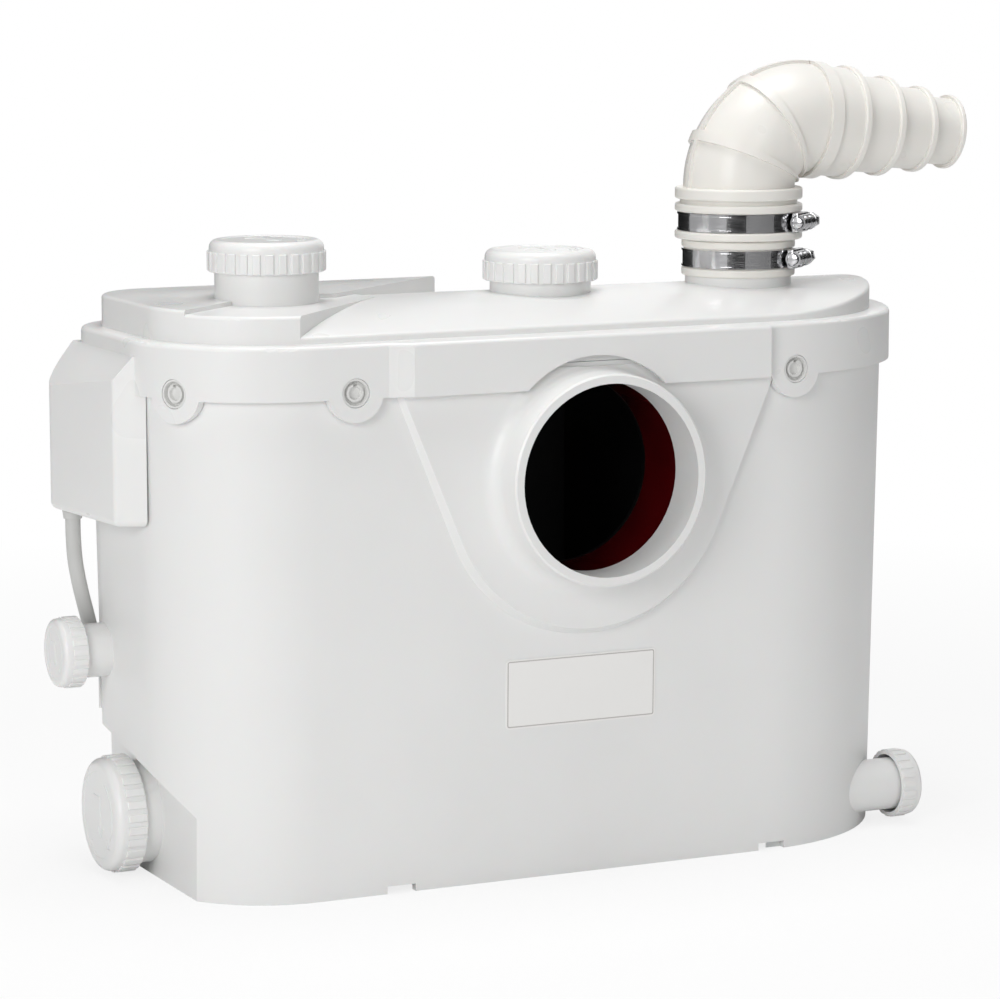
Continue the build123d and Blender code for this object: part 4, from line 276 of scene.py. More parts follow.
def finish_mesh(piece: bpy.types.Object, angle: float = 30.0) -> bpy.types.Object:
    """Weld a new piece, turn its faces outwards and smooth its shading.

    Args:
        piece: the piece.
        angle: edges sharper than this many degrees stay sharp.

    Returns:
        The piece.
    """
    take(piece)
    bpy.ops.object.mode_set(mode="EDIT")
    bpy.ops.mesh.select_all(action="SELECT")
    bpy.ops.mesh.remove_doubles(threshold=WELD)
    bpy.ops.mesh.normals_make_consistent(inside=False)
    bpy.ops.object.mode_set(mode="OBJECT")
    bpy.ops.object.shade_smooth_by_angle(angle=radians(angle))
    return piece


def bevel(
        piece: bpy.types.Object, width: float, segments: int = 2, angle: float = 30.0,
        harden: bool = False) -> None:
    """Round a piece's sharp edges with a bevel that is applied at once.

    Args:
        piece: the piece.
        width: width of the bevel.
        segments: faces across it.
        angle: edges sharper than this many degrees are rounded.
        harden: whether flat faces beside it keep their shading flat.
    """
    take(piece)
    modifier = piece.modifiers.new("edge_rounding", "BEVEL")
    modifier.width = width
    modifier.segments = segments
    modifier.limit_method = "ANGLE"
    modifier.angle_limit = radians(angle)
    modifier.harden_normals = harden
    bpy.ops.object.modifier_apply(modifier=modifier.name)


def place_by(piece: bpy.types.Object, matrix: Matrix) -> None:
    """Turn and move a piece made at the origin to its place, and put the place into its mesh."""
    take(piece)
    piece.matrix_world = matrix
    bpy.ops.object.transform_apply(location=True, rotation=True, scale=True)


def join(pieces: list[bpy.types.Object], name: str) -> bpy.types.Object:
    """Join pieces into one object of a new name."""
    take(pieces[0])
    for piece in pieces:
        piece.select_set(True)
    if len(pieces) > 1:
        bpy.ops.object.join()
    return named(name)


def dress(piece: bpy.types.Object, finish: Finish) -> None:
    """Give a piece one finish all over."""
    piece.data.materials.clear()
    piece.data.materials.append(finish.material())


def axes(facing: Facing, up: Vector = Vector((0, 0, 1))) -> Matrix:
    """Rotation that turns Z to the way a port faces and keeps Y as high as it can be."""
    out = Vector(facing.value)
    if abs(out.z) > 0.9:
        return Matrix.Identity(4)
    side = up.cross(out)
    return Matrix((side, up, out)).transposed().to_4x4()


@dataclass
class Housing:
    """The tank and the lid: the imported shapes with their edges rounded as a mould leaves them."""

    edge: float = 0.9 * MM
    edge_angle: float = 32.0
    smooth_angle: float = 20.0
    pieces: list[bpy.types.Object] = field(default_factory=list)

    def rounded(self, node: str, finish: Finish) -> bpy.types.Object:
        """Copy a node's mesh, merge it and round its sharp edges.

        Args:
            node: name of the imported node.
            finish: the finish it gets.

        Returns:
            The new piece, which stands for the node.
        """
        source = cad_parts[node]
        copy = bpy.data.objects.new(node + "_rounded", source.data.copy())
        bpy.context.scene.collection.objects.link(copy)
        take(copy)
        bpy.ops.object.mode_set(mode="EDIT")
        bpy.ops.mesh.customdata_custom_splitnormals_clear()
        bpy.ops.mesh.select_all(action="SELECT")
        bpy.ops.mesh.remove_doubles(threshold=WELD)
        bpy.ops.mesh.dissolve_limited(angle_limit=radians(0.5))
        bpy.ops.object.mode_set(mode="OBJECT")
        bpy.ops.object.shade_smooth_by_angle(angle=radians(self.smooth_angle))
        bevel(copy, self.edge, segments=3, angle=self.edge_angle, harden=True)
        dress(copy, finish)
        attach(copy, "tank_unit")
        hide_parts(node)
        self.pieces.append(copy)
        return copy

    def build(self) -> None:
        """Build the tank and the lid."""
        self.rounded("tank", TANK_PLASTIC)
        self.rounded("lid", LID_PLASTIC)


@dataclass
class ScrewCap:
    """A ribbed screw cap with a rounded crown and two raised arrows on its face."""

    node: str
    facing: Facing
    body: str
    ribs: int
    rib_share: float            # share of a rib's pitch that the rib takes
    crown: float                # radius of the crown's rounded edge
    rib_depth: float
    band: float                 # height of the ribbed band
    wall: float
    top: float                  # thickness of the top
    marks: bool = True
    segments: int = 8           # faces round the cap for each rib

    def sizes(self) -> tuple[float, float, Vector, Matrix]:
        """Outer radius, height, centre of the foot and rotation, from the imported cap's box."""
        low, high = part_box(self.node)
        middle, span = (low + high) / 2, high - low
        out = Vector(self.facing.value)
        height = abs(span.dot(out))
        radius = (span.x + span.y + span.z - height) / 4
        return radius, height, middle - out * height / 2, axes(self.facing)

    def body_mesh(self, radius: float, height: float) -> bpy.types.Object:
        """Model the cap about Z, standing on its open end.

        Args:
            radius: radius over the ribs.
            height: height from the open end to the face.

        Returns:
            The cap, at the origin.
        """
        core = radius - self.rib_depth
        bpy.ops.mesh.primitive_cylinder_add(
            vertices=self.ribs * self.segments, radius=core, depth=self.band, location=(0, 0, self.band / 2))
        cap = named(self.node + "_ribbed")
        bpy.ops.object.transform_apply(location=True, rotation=True, scale=True)
        pick(cap, lambda face: face.normal.z > 0.9)
        grow(move=(0, 0, height - self.band - self.crown))
        steps = 7
        flat = core - self.crown
        last_radius, last_height = core, 0.0
        for step in range(1, steps + 1):
            turn = pi / 2 * step / steps
            new_radius = flat + self.crown * cos(turn)
            new_height = self.crown * sin(turn)
            share = new_radius / last_radius
            grow((share, share, 1), (0, 0, new_height - last_height))
            last_radius, last_height = new_radius, new_height
        edge = last_radius * 0.9
        ridge = self.rib_depth / 4
        bpy.ops.mesh.inset(thickness=last_radius - edge, depth=0)
        grow(((edge - ridge) / edge,) * 2 + (1,), (0, 0, -ridge))
        pick(cap, lambda face: face.normal.z < -0.9)
        inner = core - self.wall
        bpy.ops.mesh.inset(thickness=self.wall, depth=0)
        grow(move=(0, 0, height - self.top))
        bpy.ops.object.mode_set(mode="OBJECT")
        pitch = 2 * pi / self.ribs
        low_edge = self.band * 0.04

        def on_rib(face: bmesh.types.BMFace) -> bool:
            """Tell whether a face of the rim belongs to a rib."""
            centre = face.calc_center_median()
            outside = hypot(centre.x, centre.y) > (core + inner) / 2
            upright = abs(face.normal.z) < 0.1 and centre.z < self.band
            share = (atan2(centre.y, centre.x) % pitch) / pitch
            return outside and upright and abs(share - 0.5) < self.rib_share / 2

        pick(cap, on_rib)
        bpy.ops.mesh.inset(thickness=low_edge, depth=0, use_individual=False)
        bpy.ops.mesh.extrude_region_shrink_fatten(
            TRANSFORM_OT_shrink_fatten={"value": self.rib_depth * 0.75})
        bpy.ops.mesh.inset(thickness=self.rib_depth * 0.35, depth=self.rib_depth * 0.25, use_individual=False)
        bpy.ops.object.mode_set(mode="OBJECT")
        return cap

    def arrow(self, name: str, points: list[tuple[float, float]], head: float, width: float, rise: float):
        """Model one raised line with an arrow's head at its last point.

        Args:
            name: the piece's name.
            points: corners of the line in the face's plane.
            head: length of the head's two strokes.
            width: width of the line.
            rise: height of the line above the face.

        Returns:
            The line as a mesh on the XY plane.
        """
        last, before = Vector(points[-1]), Vector(points[-2])
        back = (before - last).normalized()
        strokes = [points]
        for turn in (35, -35):
            lean = Matrix.Rotation(radians(turn), 2) @ back
            strokes.append([tuple(last), tuple(last + lean * head)])
        bars = []
        for stroke in strokes:
            for first, second in zip(stroke, stroke[1:]):
                first, second = Vector(first), Vector(second)
                middle, run = (first + second) / 2, second - first
                bpy.ops.mesh.primitive_cube_add(size=1)
                bar = named(name)
                bar.scale = (run.length + width * 0.6, width, rise * 2)
                bar.rotation_euler.z = atan2(run.y, run.x)
                bar.location = (middle.x, middle.y, 0)
                bpy.ops.object.transform_apply(location=True, rotation=True, scale=True)
                bevel(bar, width * 0.3, 2)
                bars.append(bar)
        return join(bars, name)

    def face_marks(self, radius: float, height: float) -> bpy.types.Object:
        """The face's two arrows: a bent one in the middle and one that turns round it."""
        reach = radius * 0.62
        width, rise = radius * 0.035, radius * 0.012
        bent = self.arrow(
            self.node + "_bent_arrow",
            [(-reach * 0.42, reach * 0.5), (reach * 0.1, reach * 0.5), (reach * 0.1, -reach * 0.62)],
            reach * 0.34, width, rise)
        count = 14
        turns = [radians(62 - 118 * step / (count - 1)) for step in range(count)]
        arc = [(reach * 1.02 * cos(turn), reach * 1.02 * sin(turn)) for turn in turns]
        round_arrow = self.arrow(self.node + "_round_arrow", arc, reach * 0.28, width, rise)
        marks = join([bent, round_arrow], self.node + "_marks")
        marks.location.z = height - self.rib_depth / 4
        bpy.ops.object.transform_apply(location=True, rotation=True, scale=True)
        return marks

    def build(self) -> None:
        """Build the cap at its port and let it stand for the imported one."""
        radius, height, foot, turn = self.sizes()
        pieces = [self.body_mesh(radius, height)]
        if self.marks:
            pieces.append(self.face_marks(radius, height))
        cap = join(pieces, self.node + "_ribbed")
        place_by(cap, Matrix.Translation(foot) @ turn)
        finish_mesh(cap, 32)
        dress(cap, CAP_PLASTIC)
        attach(cap, self.body)
        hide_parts(self.node)


@dataclass
class HoseClamp:
    """A worm drive hose clamp: slotted band with rolled edges, pressed housing and hexagon screw."""

    name: str
    centre: tuple[float, float]     # the outlet's line
    inner: float                    # radius inside the band
    foot: float                     # height of the band's lower edge
    screw_body: str
    slot_turn: float                # how far the screw's slot is turned from the band's plane
    band: float = 9.6 * MM
    strip: float = 0.8 * MM
    rolled: float = 0.55 * MM       # height of the band's rolled edges
    turn: float = -50.0             # degrees from +X, where the housing sits
    housing: float = 17.0 * MM
    screw: float = 3.0 * MM
    head: float = 4.2 * MM
    head_length: float = 6.5 * MM
    head_start: float = 8.8 * MM

    def frame(self) -> Matrix:
        """Frame at the clamp: X out through the housing, Y along the screw, Z up."""
        lift = Vector((*self.centre, self.foot + self.band / 2))
        return Matrix.Translation(lift) @ Matrix.Rotation(radians(self.turn), 4, "Z")

    def reach(self) -> float:
        """Distance of the screw's line from the outlet's line."""
        return self.inner + 2 * self.strip + 0.5 * MM + self.screw + 0.3 * MM

    def ring(self, name: str, radius: float, low: float, high: float, depth: float, steps: int,
             start: float, sweep: float) -> bpy.types.Object:
        """Spin one flat strip about the clamp's line.

        Args:
            name: the piece's name.
            radius: radius inside the strip.
            low: its lower edge's height.
            high: its upper edge's height.
            depth: its thickness.
            steps: faces round it.
            start: the angle it starts at, in degrees.
            sweep: how far it goes, in degrees.

        Returns:
            The strip.
        """
        bpy.ops.mesh.primitive_plane_add(size=1)
        strip = named(name)
        strip.scale = (depth, high - low, 1)
        bpy.ops.object.transform_apply(location=True, rotation=True, scale=True)
        middle = Matrix.Translation((radius + depth / 2, 0, (low + high) / 2))
        stand = middle @ Matrix.Rotation(pi / 2, 4, "X")
        place_by(strip, Matrix.Rotation(radians(start), 4, "Z") @ stand)
        bpy.ops.object.mode_set(mode="EDIT")
        bpy.ops.mesh.select_all(action="SELECT")
        bpy.ops.mesh.spin(steps=steps, dupli=False, angle=radians(sweep), center=(0, 0, 0), axis=(0, 0, 1))
        bpy.ops.mesh.select_all(action="SELECT")
        bpy.ops.mesh.remove_doubles(threshold=WELD)
        bpy.ops.object.mode_set(mode="OBJECT")
        return strip

    def band_mesh(self) -> bpy.types.Object:
        """The band with its rolled edges, the lapped tail and the row of worm slots."""
        half = self.band / 2
        edge = 1.1 * MM
        pieces = [self.ring(
            self.name + "_band", self.inner, -half + edge / 2, half - edge / 2, self.strip, 128, 0, 360)]
        for low in (-half, half - edge):
            rim = self.ring(
                self.name + "_band_edge", self.inner, low, low + edge, self.strip + self.rolled, 128, 0, 360)
            pieces.append(rim)
        start = degrees(self.housing / 2 / self.inner)
        tail = self.ring(
            self.name + "_band_tail", self.inner + self.strip, -half + edge * 1.1, half - edge * 1.1,
            self.strip * 0.8, 75, -75.0, 75.0 - start)
        outer = self.inner + self.strip * 1.8

        def on_slot(face: bmesh.types.BMFace) -> bool:
            """Tell whether a face of the strip lies in one of its slots."""
            centre = face.calc_center_median()
            turn = degrees(atan2(centre.y, centre.x))
            outside = hypot(centre.x, centre.y) > outer - self.strip * 0.2 and abs(face.normal.z) < 0.1
            return outside and -48 < turn < -start - 1 and int((turn + 75) / (75 - start) * 75) % 3 == 1

        pick(tail, on_slot)
        bpy.ops.mesh.inset(thickness=self.strip * 0.25, depth=0, use_individual=True)
        bpy.ops.transform.resize(value=(1, 1, 0.72), center_override=(0, 0, 0))
        bpy.ops.mesh.extrude_region_shrink_fatten(TRANSFORM_OT_shrink_fatten={"value": -self.strip * 0.7})
        bpy.ops.object.mode_set(mode="OBJECT")
        pieces.append(tail)
        return join(pieces, self.name + "_band_strip")

    def housing_mesh(self) -> bpy.types.Object:
        """The pressed housing: a cradle on the band under a domed cover with two stiffening grooves."""
        reach = self.reach()
        low = self.inner + self.strip * 2 + 0.1 * MM
        wall = 1.0 * MM
        outer = self.screw + 0.3 * MM + wall
        bpy.ops.mesh.primitive_cylinder_add(vertices=40, radius=outer, depth=self.housing, location=(0, 0, 0))
        cover = named(self.name + "_housing_cover")
        place_by(cover, Matrix.Translation((reach, 0, 0)) @ Matrix.Rotation(pi / 2, 4, "X"))
        bpy.ops.object.mode_set(mode="EDIT")
        for place in (-0.3, -0.1, 0.1, 0.3):
            bpy.ops.mesh.select_all(action="SELECT")
            bpy.ops.mesh.bisect(plane_co=(0, self.housing * place, 0), plane_no=(0, 1, 0))
        bpy.ops.object.mode_set(mode="OBJECT")

        def grooved(face: bmesh.types.BMFace) -> bool:
            """Tell whether a face of the cover belongs to a groove."""
            centre = face.calc_center_median()
            share = abs(centre.y) / self.housing
            return 0.1 < share < 0.3 and centre.x > reach + outer * 0.3 and abs(face.normal.y) < 0.1

        pick(cover, grooved)
        bpy.ops.mesh.inset(thickness=wall * 0.3, depth=0)
        bpy.ops.mesh.extrude_region_shrink_fatten(TRANSFORM_OT_shrink_fatten={"value": -wall * 0.45})
        bpy.ops.object.mode_set(mode="OBJECT")
        pick(cover, lambda face: abs(face.normal.y) > 0.9)
        bpy.ops.mesh.inset(thickness=wall * 0.9, depth=0)
        bpy.ops.mesh.extrude_region_shrink_fatten(TRANSFORM_OT_shrink_fatten={"value": -wall * 1.6})
        bpy.ops.object.mode_set(mode="OBJECT")
        bpy.ops.mesh.primitive_cube_add(size=1, location=((low + reach) / 2, 0, 0))
        cradle = named(self.name + "_housing_cradle")
        cradle.scale = (reach - low, self.housing, self.band + 1.2 * MM)
        bpy.ops.object.transform_apply(location=True, rotation=True, scale=True)
        pick(cradle, lambda face: face.normal.x > 0.9)
        grow((1, 1, 0.8), (0, 0, 0))
        bpy.ops.object.mode_set(mode="OBJECT")
        bevel(cradle, 0.8 * MM, 3)
        return join([cover, cradle], self.name + "_housing_pressed")

    def screw_mesh(self) -> bpy.types.Object:
        """The screw: tail, flanged hexagon head with a chamfered top and a slot."""
        bpy.ops.mesh.primitive_cylinder_add(vertices=6, radius=self.head, depth=self.head_length)
        head = named(self.name + "_hexagon")
        lift = self.head_start + 1.0 * MM + self.head_length / 2
        bpy.ops.object.mode_set(mode="EDIT")
        for place in (-0.09, 0.09):
            bpy.ops.mesh.select_all(action="SELECT")
            bpy.ops.mesh.bisect(plane_co=(self.head * 2 * place, 0, 0), plane_no=(1, 0, 0))
        bpy.ops.object.mode_set(mode="OBJECT")
        pick(head, lambda face: face.normal.z > 0.9 and abs(face.calc_center_median().x) < self.head * 0.1)
        bpy.ops.mesh.extrude_region_shrink_fatten(TRANSFORM_OT_shrink_fatten={"value": -1.6 * MM})
        bpy.ops.object.mode_set(mode="OBJECT")
        bevel(head, 0.35 * MM, 2, 40)
        place_by(head, Matrix.Translation((0, 0, lift)) @ Matrix.Rotation(radians(self.slot_turn), 4, "Z"))
        bpy.ops.mesh.primitive_cylinder_add(
            vertices=40, radius=self.head + 0.5 * MM, depth=1.0 * MM,
            location=(0, 0, self.head_start + 0.5 * MM))
        flange = named(self.name + "_flange")
        bevel(flange, 0.25 * MM, 2)
        length = self.housing + 1.5 * MM
        bpy.ops.mesh.primitive_cylinder_add(
            vertices=32, radius=self.screw, depth=length, location=(0, 0, self.head_start - length / 2))
        shank = named(self.name + "_shank")
        bevel(shank, 0.5 * MM, 2)
        screw = join([head, flange, shank], self.name + "_screw_slotted")
        place_by(screw, Matrix.Translation((self.reach(), 0, 0)) @ Matrix.Rotation(-pi / 2, 4, "X"))
        return screw

    def build(self) -> None:
        """Build the clamp round the outlet's line."""
        holder = "tank_unit" if self.name == "lower_clamp" else "elbow"
        for piece, body, node, finish in (
                (self.band_mesh(), holder, "_band", CLAMP_STRIP),
                (self.housing_mesh(), holder, "_housing", CLAMP_STEEL),
                (self.screw_mesh(), self.screw_body, "_screw", CLAMP_STEEL)):
            place_by(piece, self.frame())
            finish_mesh(piece, 32)
            dress(piece, finish)
            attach(piece, body)
            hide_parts(self.name + node)


@dataclass
class LidClips:
    """The snap rivets of the lid, each a cupped head with a split rim on a pin."""

    node: str = "lid_clips"
    radius: float = 7.3 * MM
    cup: float = 4.7 * MM
    depth: float = 2.6 * MM
    rim: float = 1.0 * MM
    shank: float = 3.4 * MM
    length: float = 13.0 * MM
    sink: float = 0.6 * MM
    height: float = 260.5 * MM

    def spots(self) -> list[tuple[Vector, Vector]]:
        """Centre of each head's face and the way it faces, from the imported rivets' own vertices."""
        points = [vertex.co.copy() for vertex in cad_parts[self.node].data.vertices]
        groups: list[list[Vector]] = []
        for point in points:
            for group in groups:
                if (group[0] - point).length < 30 * MM:
                    group.append(point)
                    break
            else:
                groups.append([point])
        found = []
        for group in groups:
            rim = [point for point in group if abs(point.z - self.height) > 5 * MM]
            head = sum(rim, Vector()) / len(rim)
            head.z = self.height
            far = [point for point in group if (point - head).length > 9 * MM]
            tip = sum(far, Vector()) / len(far)
            out = (head - tip)
            out.z = 0
            out.normalize()
            face = max((point - head).dot(out) for point in group)
            found.append((head + out * face, out))
        return found

    def rivet(self, index: int, face: Vector, out: Vector) -> bpy.types.Object:
        """Model one rivet and set it in its lug.

        Args:
            index: the rivet's number.
            face: centre of the head's face.
            out: the way the head faces.

        Returns:
            The rivet.
        """
        name = f"snap_rivet_{index}"
        bpy.ops.mesh.primitive_cylinder_add(
            vertices=48, radius=self.radius, depth=3.4 * MM, location=(0, 0, -1.7 * MM))
        head = named(name)
        bpy.ops.object.transform_apply(location=True, rotation=True, scale=True)
        pick(head, lambda side: side.normal.z > 0.9)
        bpy.ops.mesh.inset(thickness=self.rim, depth=0)
        bpy.ops.mesh.inset(thickness=self.rim * 0.4, depth=-self.depth)
        bpy.ops.mesh.inset(thickness=self.radius - 1.4 * self.rim - self.cup, depth=0)
        bpy.ops.mesh.inset(thickness=self.rim * 0.2, depth=self.depth * 0.75)
        bpy.ops.mesh.inset(thickness=self.rim * 1.1, depth=0)
        bpy.ops.mesh.inset(thickness=self.rim * 0.3, depth=-self.depth * 0.7)
        bpy.ops.object.mode_set(mode="OBJECT")
        ring_low = self.cup - self.rim * 1.3

        def in_slot(side: bmesh.types.BMFace) -> bool:
            """Tell whether a face lies in the slot of the rivet's ring."""
            centre = side.calc_center_median()
            place = hypot(centre.x, centre.y)
            raised = side.normal.z > 0.5 and -self.depth * 0.6 < centre.z < -self.depth * 0.05
            off_top = abs(degrees(atan2(centre.y, centre.x)) - 90)
            return raised and ring_low < place < self.cup and off_top < 16

        if pick(head, in_slot):
            bpy.ops.mesh.extrude_region_shrink_fatten(TRANSFORM_OT_shrink_fatten={"value": -self.depth * 0.6})
        bpy.ops.object.mode_set(mode="OBJECT")
        run = self.length - self.sink - 3.4 * MM
        bpy.ops.mesh.primitive_cylinder_add(
            vertices=24, radius=self.shank, depth=run, location=(0, 0, -3.4 * MM - run / 2))
        shank = named(name + "_shank")
        bpy.ops.object.transform_apply(location=True, rotation=True, scale=True)
        rivet = join([head, shank], name)
        up = Vector((0, 0, 1))
        turn = Matrix((up.cross(out), up, out)).transposed().to_4x4()
        place_by(rivet, Matrix.Translation(face) @ turn)
        return rivet

    def build(self) -> None:
        """Build the rivets as one piece."""
        rivets = [self.rivet(index, face, out) for index, (face, out) in enumerate(self.spots())]
        piece = join(rivets, "snap_rivets")
        finish_mesh(piece, 35)
        dress(piece, CLIP_PLASTIC)
        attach(piece, "tank_unit")
        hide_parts(self.node)


@dataclass
class FrontLabel:
    """The blank label: a film with round corners and a thin printed line near its edge."""

    node: str = "front_label"
    width: float = 87.0 * MM
    height: float = 36.5 * MM
    film: float = 0.4 * MM
    corner: float = 2.0 * MM
    margin: float = 0.8 * MM
    line: float = 0.6 * MM
    draft: float = 4.2 / 268.0      # lean of the wall it sticks to

    def build(self) -> None:
        """Stick the film on the front wall."""
        bpy.ops.mesh.primitive_plane_add(size=1)
        label = named("blank_label_film")
        label.scale = (self.width, self.height, 1)
        bpy.ops.object.transform_apply(location=True, rotation=True, scale=True)
        bpy.ops.object.mode_set(mode="EDIT")
        bpy.ops.mesh.select_mode(type="VERT")
        bpy.ops.mesh.select_all(action="SELECT")
        bpy.ops.mesh.bevel(offset=self.corner, segments=5, affect="VERTICES")
        bpy.ops.object.mode_set(mode="OBJECT")
        pick(label, lambda face: True)
        grow(move=(0, 0, self.film))
        bpy.ops.mesh.inset(thickness=self.margin, depth=0)
        bpy.ops.mesh.inset(thickness=self.line, depth=0)
        bpy.ops.object.mode_set(mode="OBJECT")
        dress(label, LABEL_FILM)
        label.data.materials.append(LABEL_EDGE.material())
        inner_x = self.width / 2 - self.margin - self.line
        inner_y = self.height / 2 - self.margin - self.line
        for face in label.data.polygons:
            corners = [label.data.vertices[index].co for index in face.vertices]
            reach = max(max(abs(spot.x) - inner_x, abs(spot.y) - inner_y) for spot in corners)
            nearest = min(max(abs(spot.x) - inner_x, abs(spot.y) - inner_y) for spot in corners)
            on_top = min(spot.z for spot in corners) > self.film / 2
            if on_top and reach < self.line * 1.05 and nearest > -self.line and len(corners) == 4:
                face.material_index = 1
        low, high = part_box(self.node)
        middle = Vector(((low.x + high.x) / 2, (low.y + high.y) / 2 + self.film / 2, (low.z + high.z) / 2))
        stand = Matrix.Rotation(pi / 2 + self.draft, 4, "X")
        place_by(label, Matrix.Translation(middle) @ stand)
        finish_mesh(label, 30)
        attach(label, "tank_unit")
        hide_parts(self.node)


@dataclass
class MainsLead:
    """The mains lead from the hood's strain relief to the coil, and the coil."""

    diameter: float = 8.0 * MM
    centre: tuple[float, float] = (-60.0, 155.6)
    inner: float = 37.0
    pitch: float = 10.4
    low: float = 5.6
    layer: float = 8.9
    tail: float = 48.0
    per_half_turn: int = 8
    length: float = 1.15
    route: tuple[tuple[float, float, float], ...] = (
        (-233.5, 51.5, 185.0), (-233.5, 51.5, 168.0), (-230.0, 53.5, 150.0), (-222.5, 60.8, 129.0),
        (-211.0, 79.0, 104.0), (-197.0, 90.5, 80.0), (-184.0, 99.0, 56.0), (-171.0, 106.0, 34.0),
        (-155.0, 111.0, 17.0), (-131.0, 108.5, 8.0), (-100.0, 103.0, 5.6), (-68.0, 103.0, 5.6),
    )

    def coil(self) -> list[tuple[float, float, float]]:
        """Control points of the coil: half turns inwards, up a layer, and outwards again."""
        radii = [self.inner + self.pitch * turns / 2 for turns in (3, 2, 1, 0, 0, 1, 2)]
        heights = [self.low] * 4 + [self.low + self.layer] * 3
        outside = 1 / cos(pi / self.per_half_turn / 2)
        points = []
        for index in range(len(radii) - 1):
            start = -pi / 2 + index * pi
            for step in range(self.per_half_turn):
                share = (step + 0.5) / self.per_half_turn
                turn = start + pi * share
                radius = (radii[index] + (radii[index + 1] - radii[index]) * share) * outside
                ease = share * share * (3 - 2 * share)
                height = heights[index] + (heights[index + 1] - heights[index]) * ease
                x = self.centre[0] + radius * cos(turn)
                y = self.centre[1] + radius * sin(turn)
                points.append((x, y, height))
        end_y = self.centre[1] - radii[-1]
        points.append((self.centre[0] + self.tail / 3, end_y, heights[-1]))
        points.append((self.centre[0] + self.tail, end_y, heights[-1]))
        return points

    def build(self) -> None:
        line = bpy.data.curves.new("mains_lead_cord", "CURVE")
        line.dimensions = "3D"
        line.bevel_depth = self.diameter / 2
        line.bevel_resolution = 6
        line.resolution_u = 8
        line.use_fill_caps = True
        points = [*self.route, *self.coil()]
        spline = line.splines.new("NURBS")
        spline.points.add(len(points) - 1)
        for control, point in zip(spline.points, points):
            control.co = (*(value * MM for value in point), 1)
        spline.order_u = 3
        spline.use_endpoint_u = True
        cord = bpy.data.objects.new("mains_lead_cord", line)
        bpy.context.scene.collection.objects.link(cord)
        cord.data.materials.append(CORD_PVC.material())
        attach(cord, "tank_unit")
        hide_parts("mains_lead", "cord_coil")


@dataclass
class PackedFinishes:
    """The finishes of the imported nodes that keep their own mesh."""

    by_finish: tuple[tuple[Finish, tuple[str, ...]], ...] = (
        (LINER_RED, ("inlet_lining",)),
        (CHUTE_BLACK_PAINTED_SHADE, ("inlet_chute",)),
        (PUMP_BLACK, ("pump_volute", "volute_cover", "impeller")),
        (BASKET_GREY, ("basket", "check_valve_body", "pressure_chamber")),
        (PIPE_GREY, ("discharge_pipe",)),
        (HOSE_RUBBER, ("outlet_sleeve", "discharge_elbow")),
        (SEAL_RUBBER, ("lid_gasket", "shaft_seal", "diaphragm", "check_valve_flap", "cord_tie",
                       "left_large_flap", "left_small_flap", "right_small_flap")),
        (CLAMP_STRIP, ("lower_clamp_band", "upper_clamp_band")),
        (CLAMP_STEEL, (
            "lower_clamp_housing", "upper_clamp_housing", "lower_clamp_screw", "upper_clamp_screw")),
        (SHAFT_STEEL, ("shaft", "cutter_blade", "impeller_nut", "lower_bearing", "upper_bearing")),
        (CORE_IRON, ("stator", "rotor")),
        (WINDING_COPPER, ("windings",)),
        (MOTOR_PAINT, ("motor_can", "motor_cover")),
        (CLIP_PLASTIC, ("lid_clips",)),
        (CORD_PVC, ("strain_relief", "mains_lead", "cord_coil")),
        (PLUG_PVC, ("mains_plug", "capacitor")),
        (PIN_BRASS, ("plug_pins",)),
        (TERMINAL_CREAM, ("terminal_block", "pressure_switch")),
        (CAP_PLASTIC, ("switch_plunger",)),
        (LABEL_FILM, ("front_label",)),
        (TANK_PLASTIC, ("tank",)),
        (LID_PLASTIC, ("lid",)),
    )

    def build(self) -> None:
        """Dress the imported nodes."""
        for finish, nodes in self.by_finish:
            for node in nodes:
                dress(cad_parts[node], finish)
        for name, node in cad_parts.items():
            if name.endswith("_cap"):
                dress(node, CAP_PLASTIC)
            if name.endswith("_cap_seal"):
                dress(node, SEAL_RUBBER)


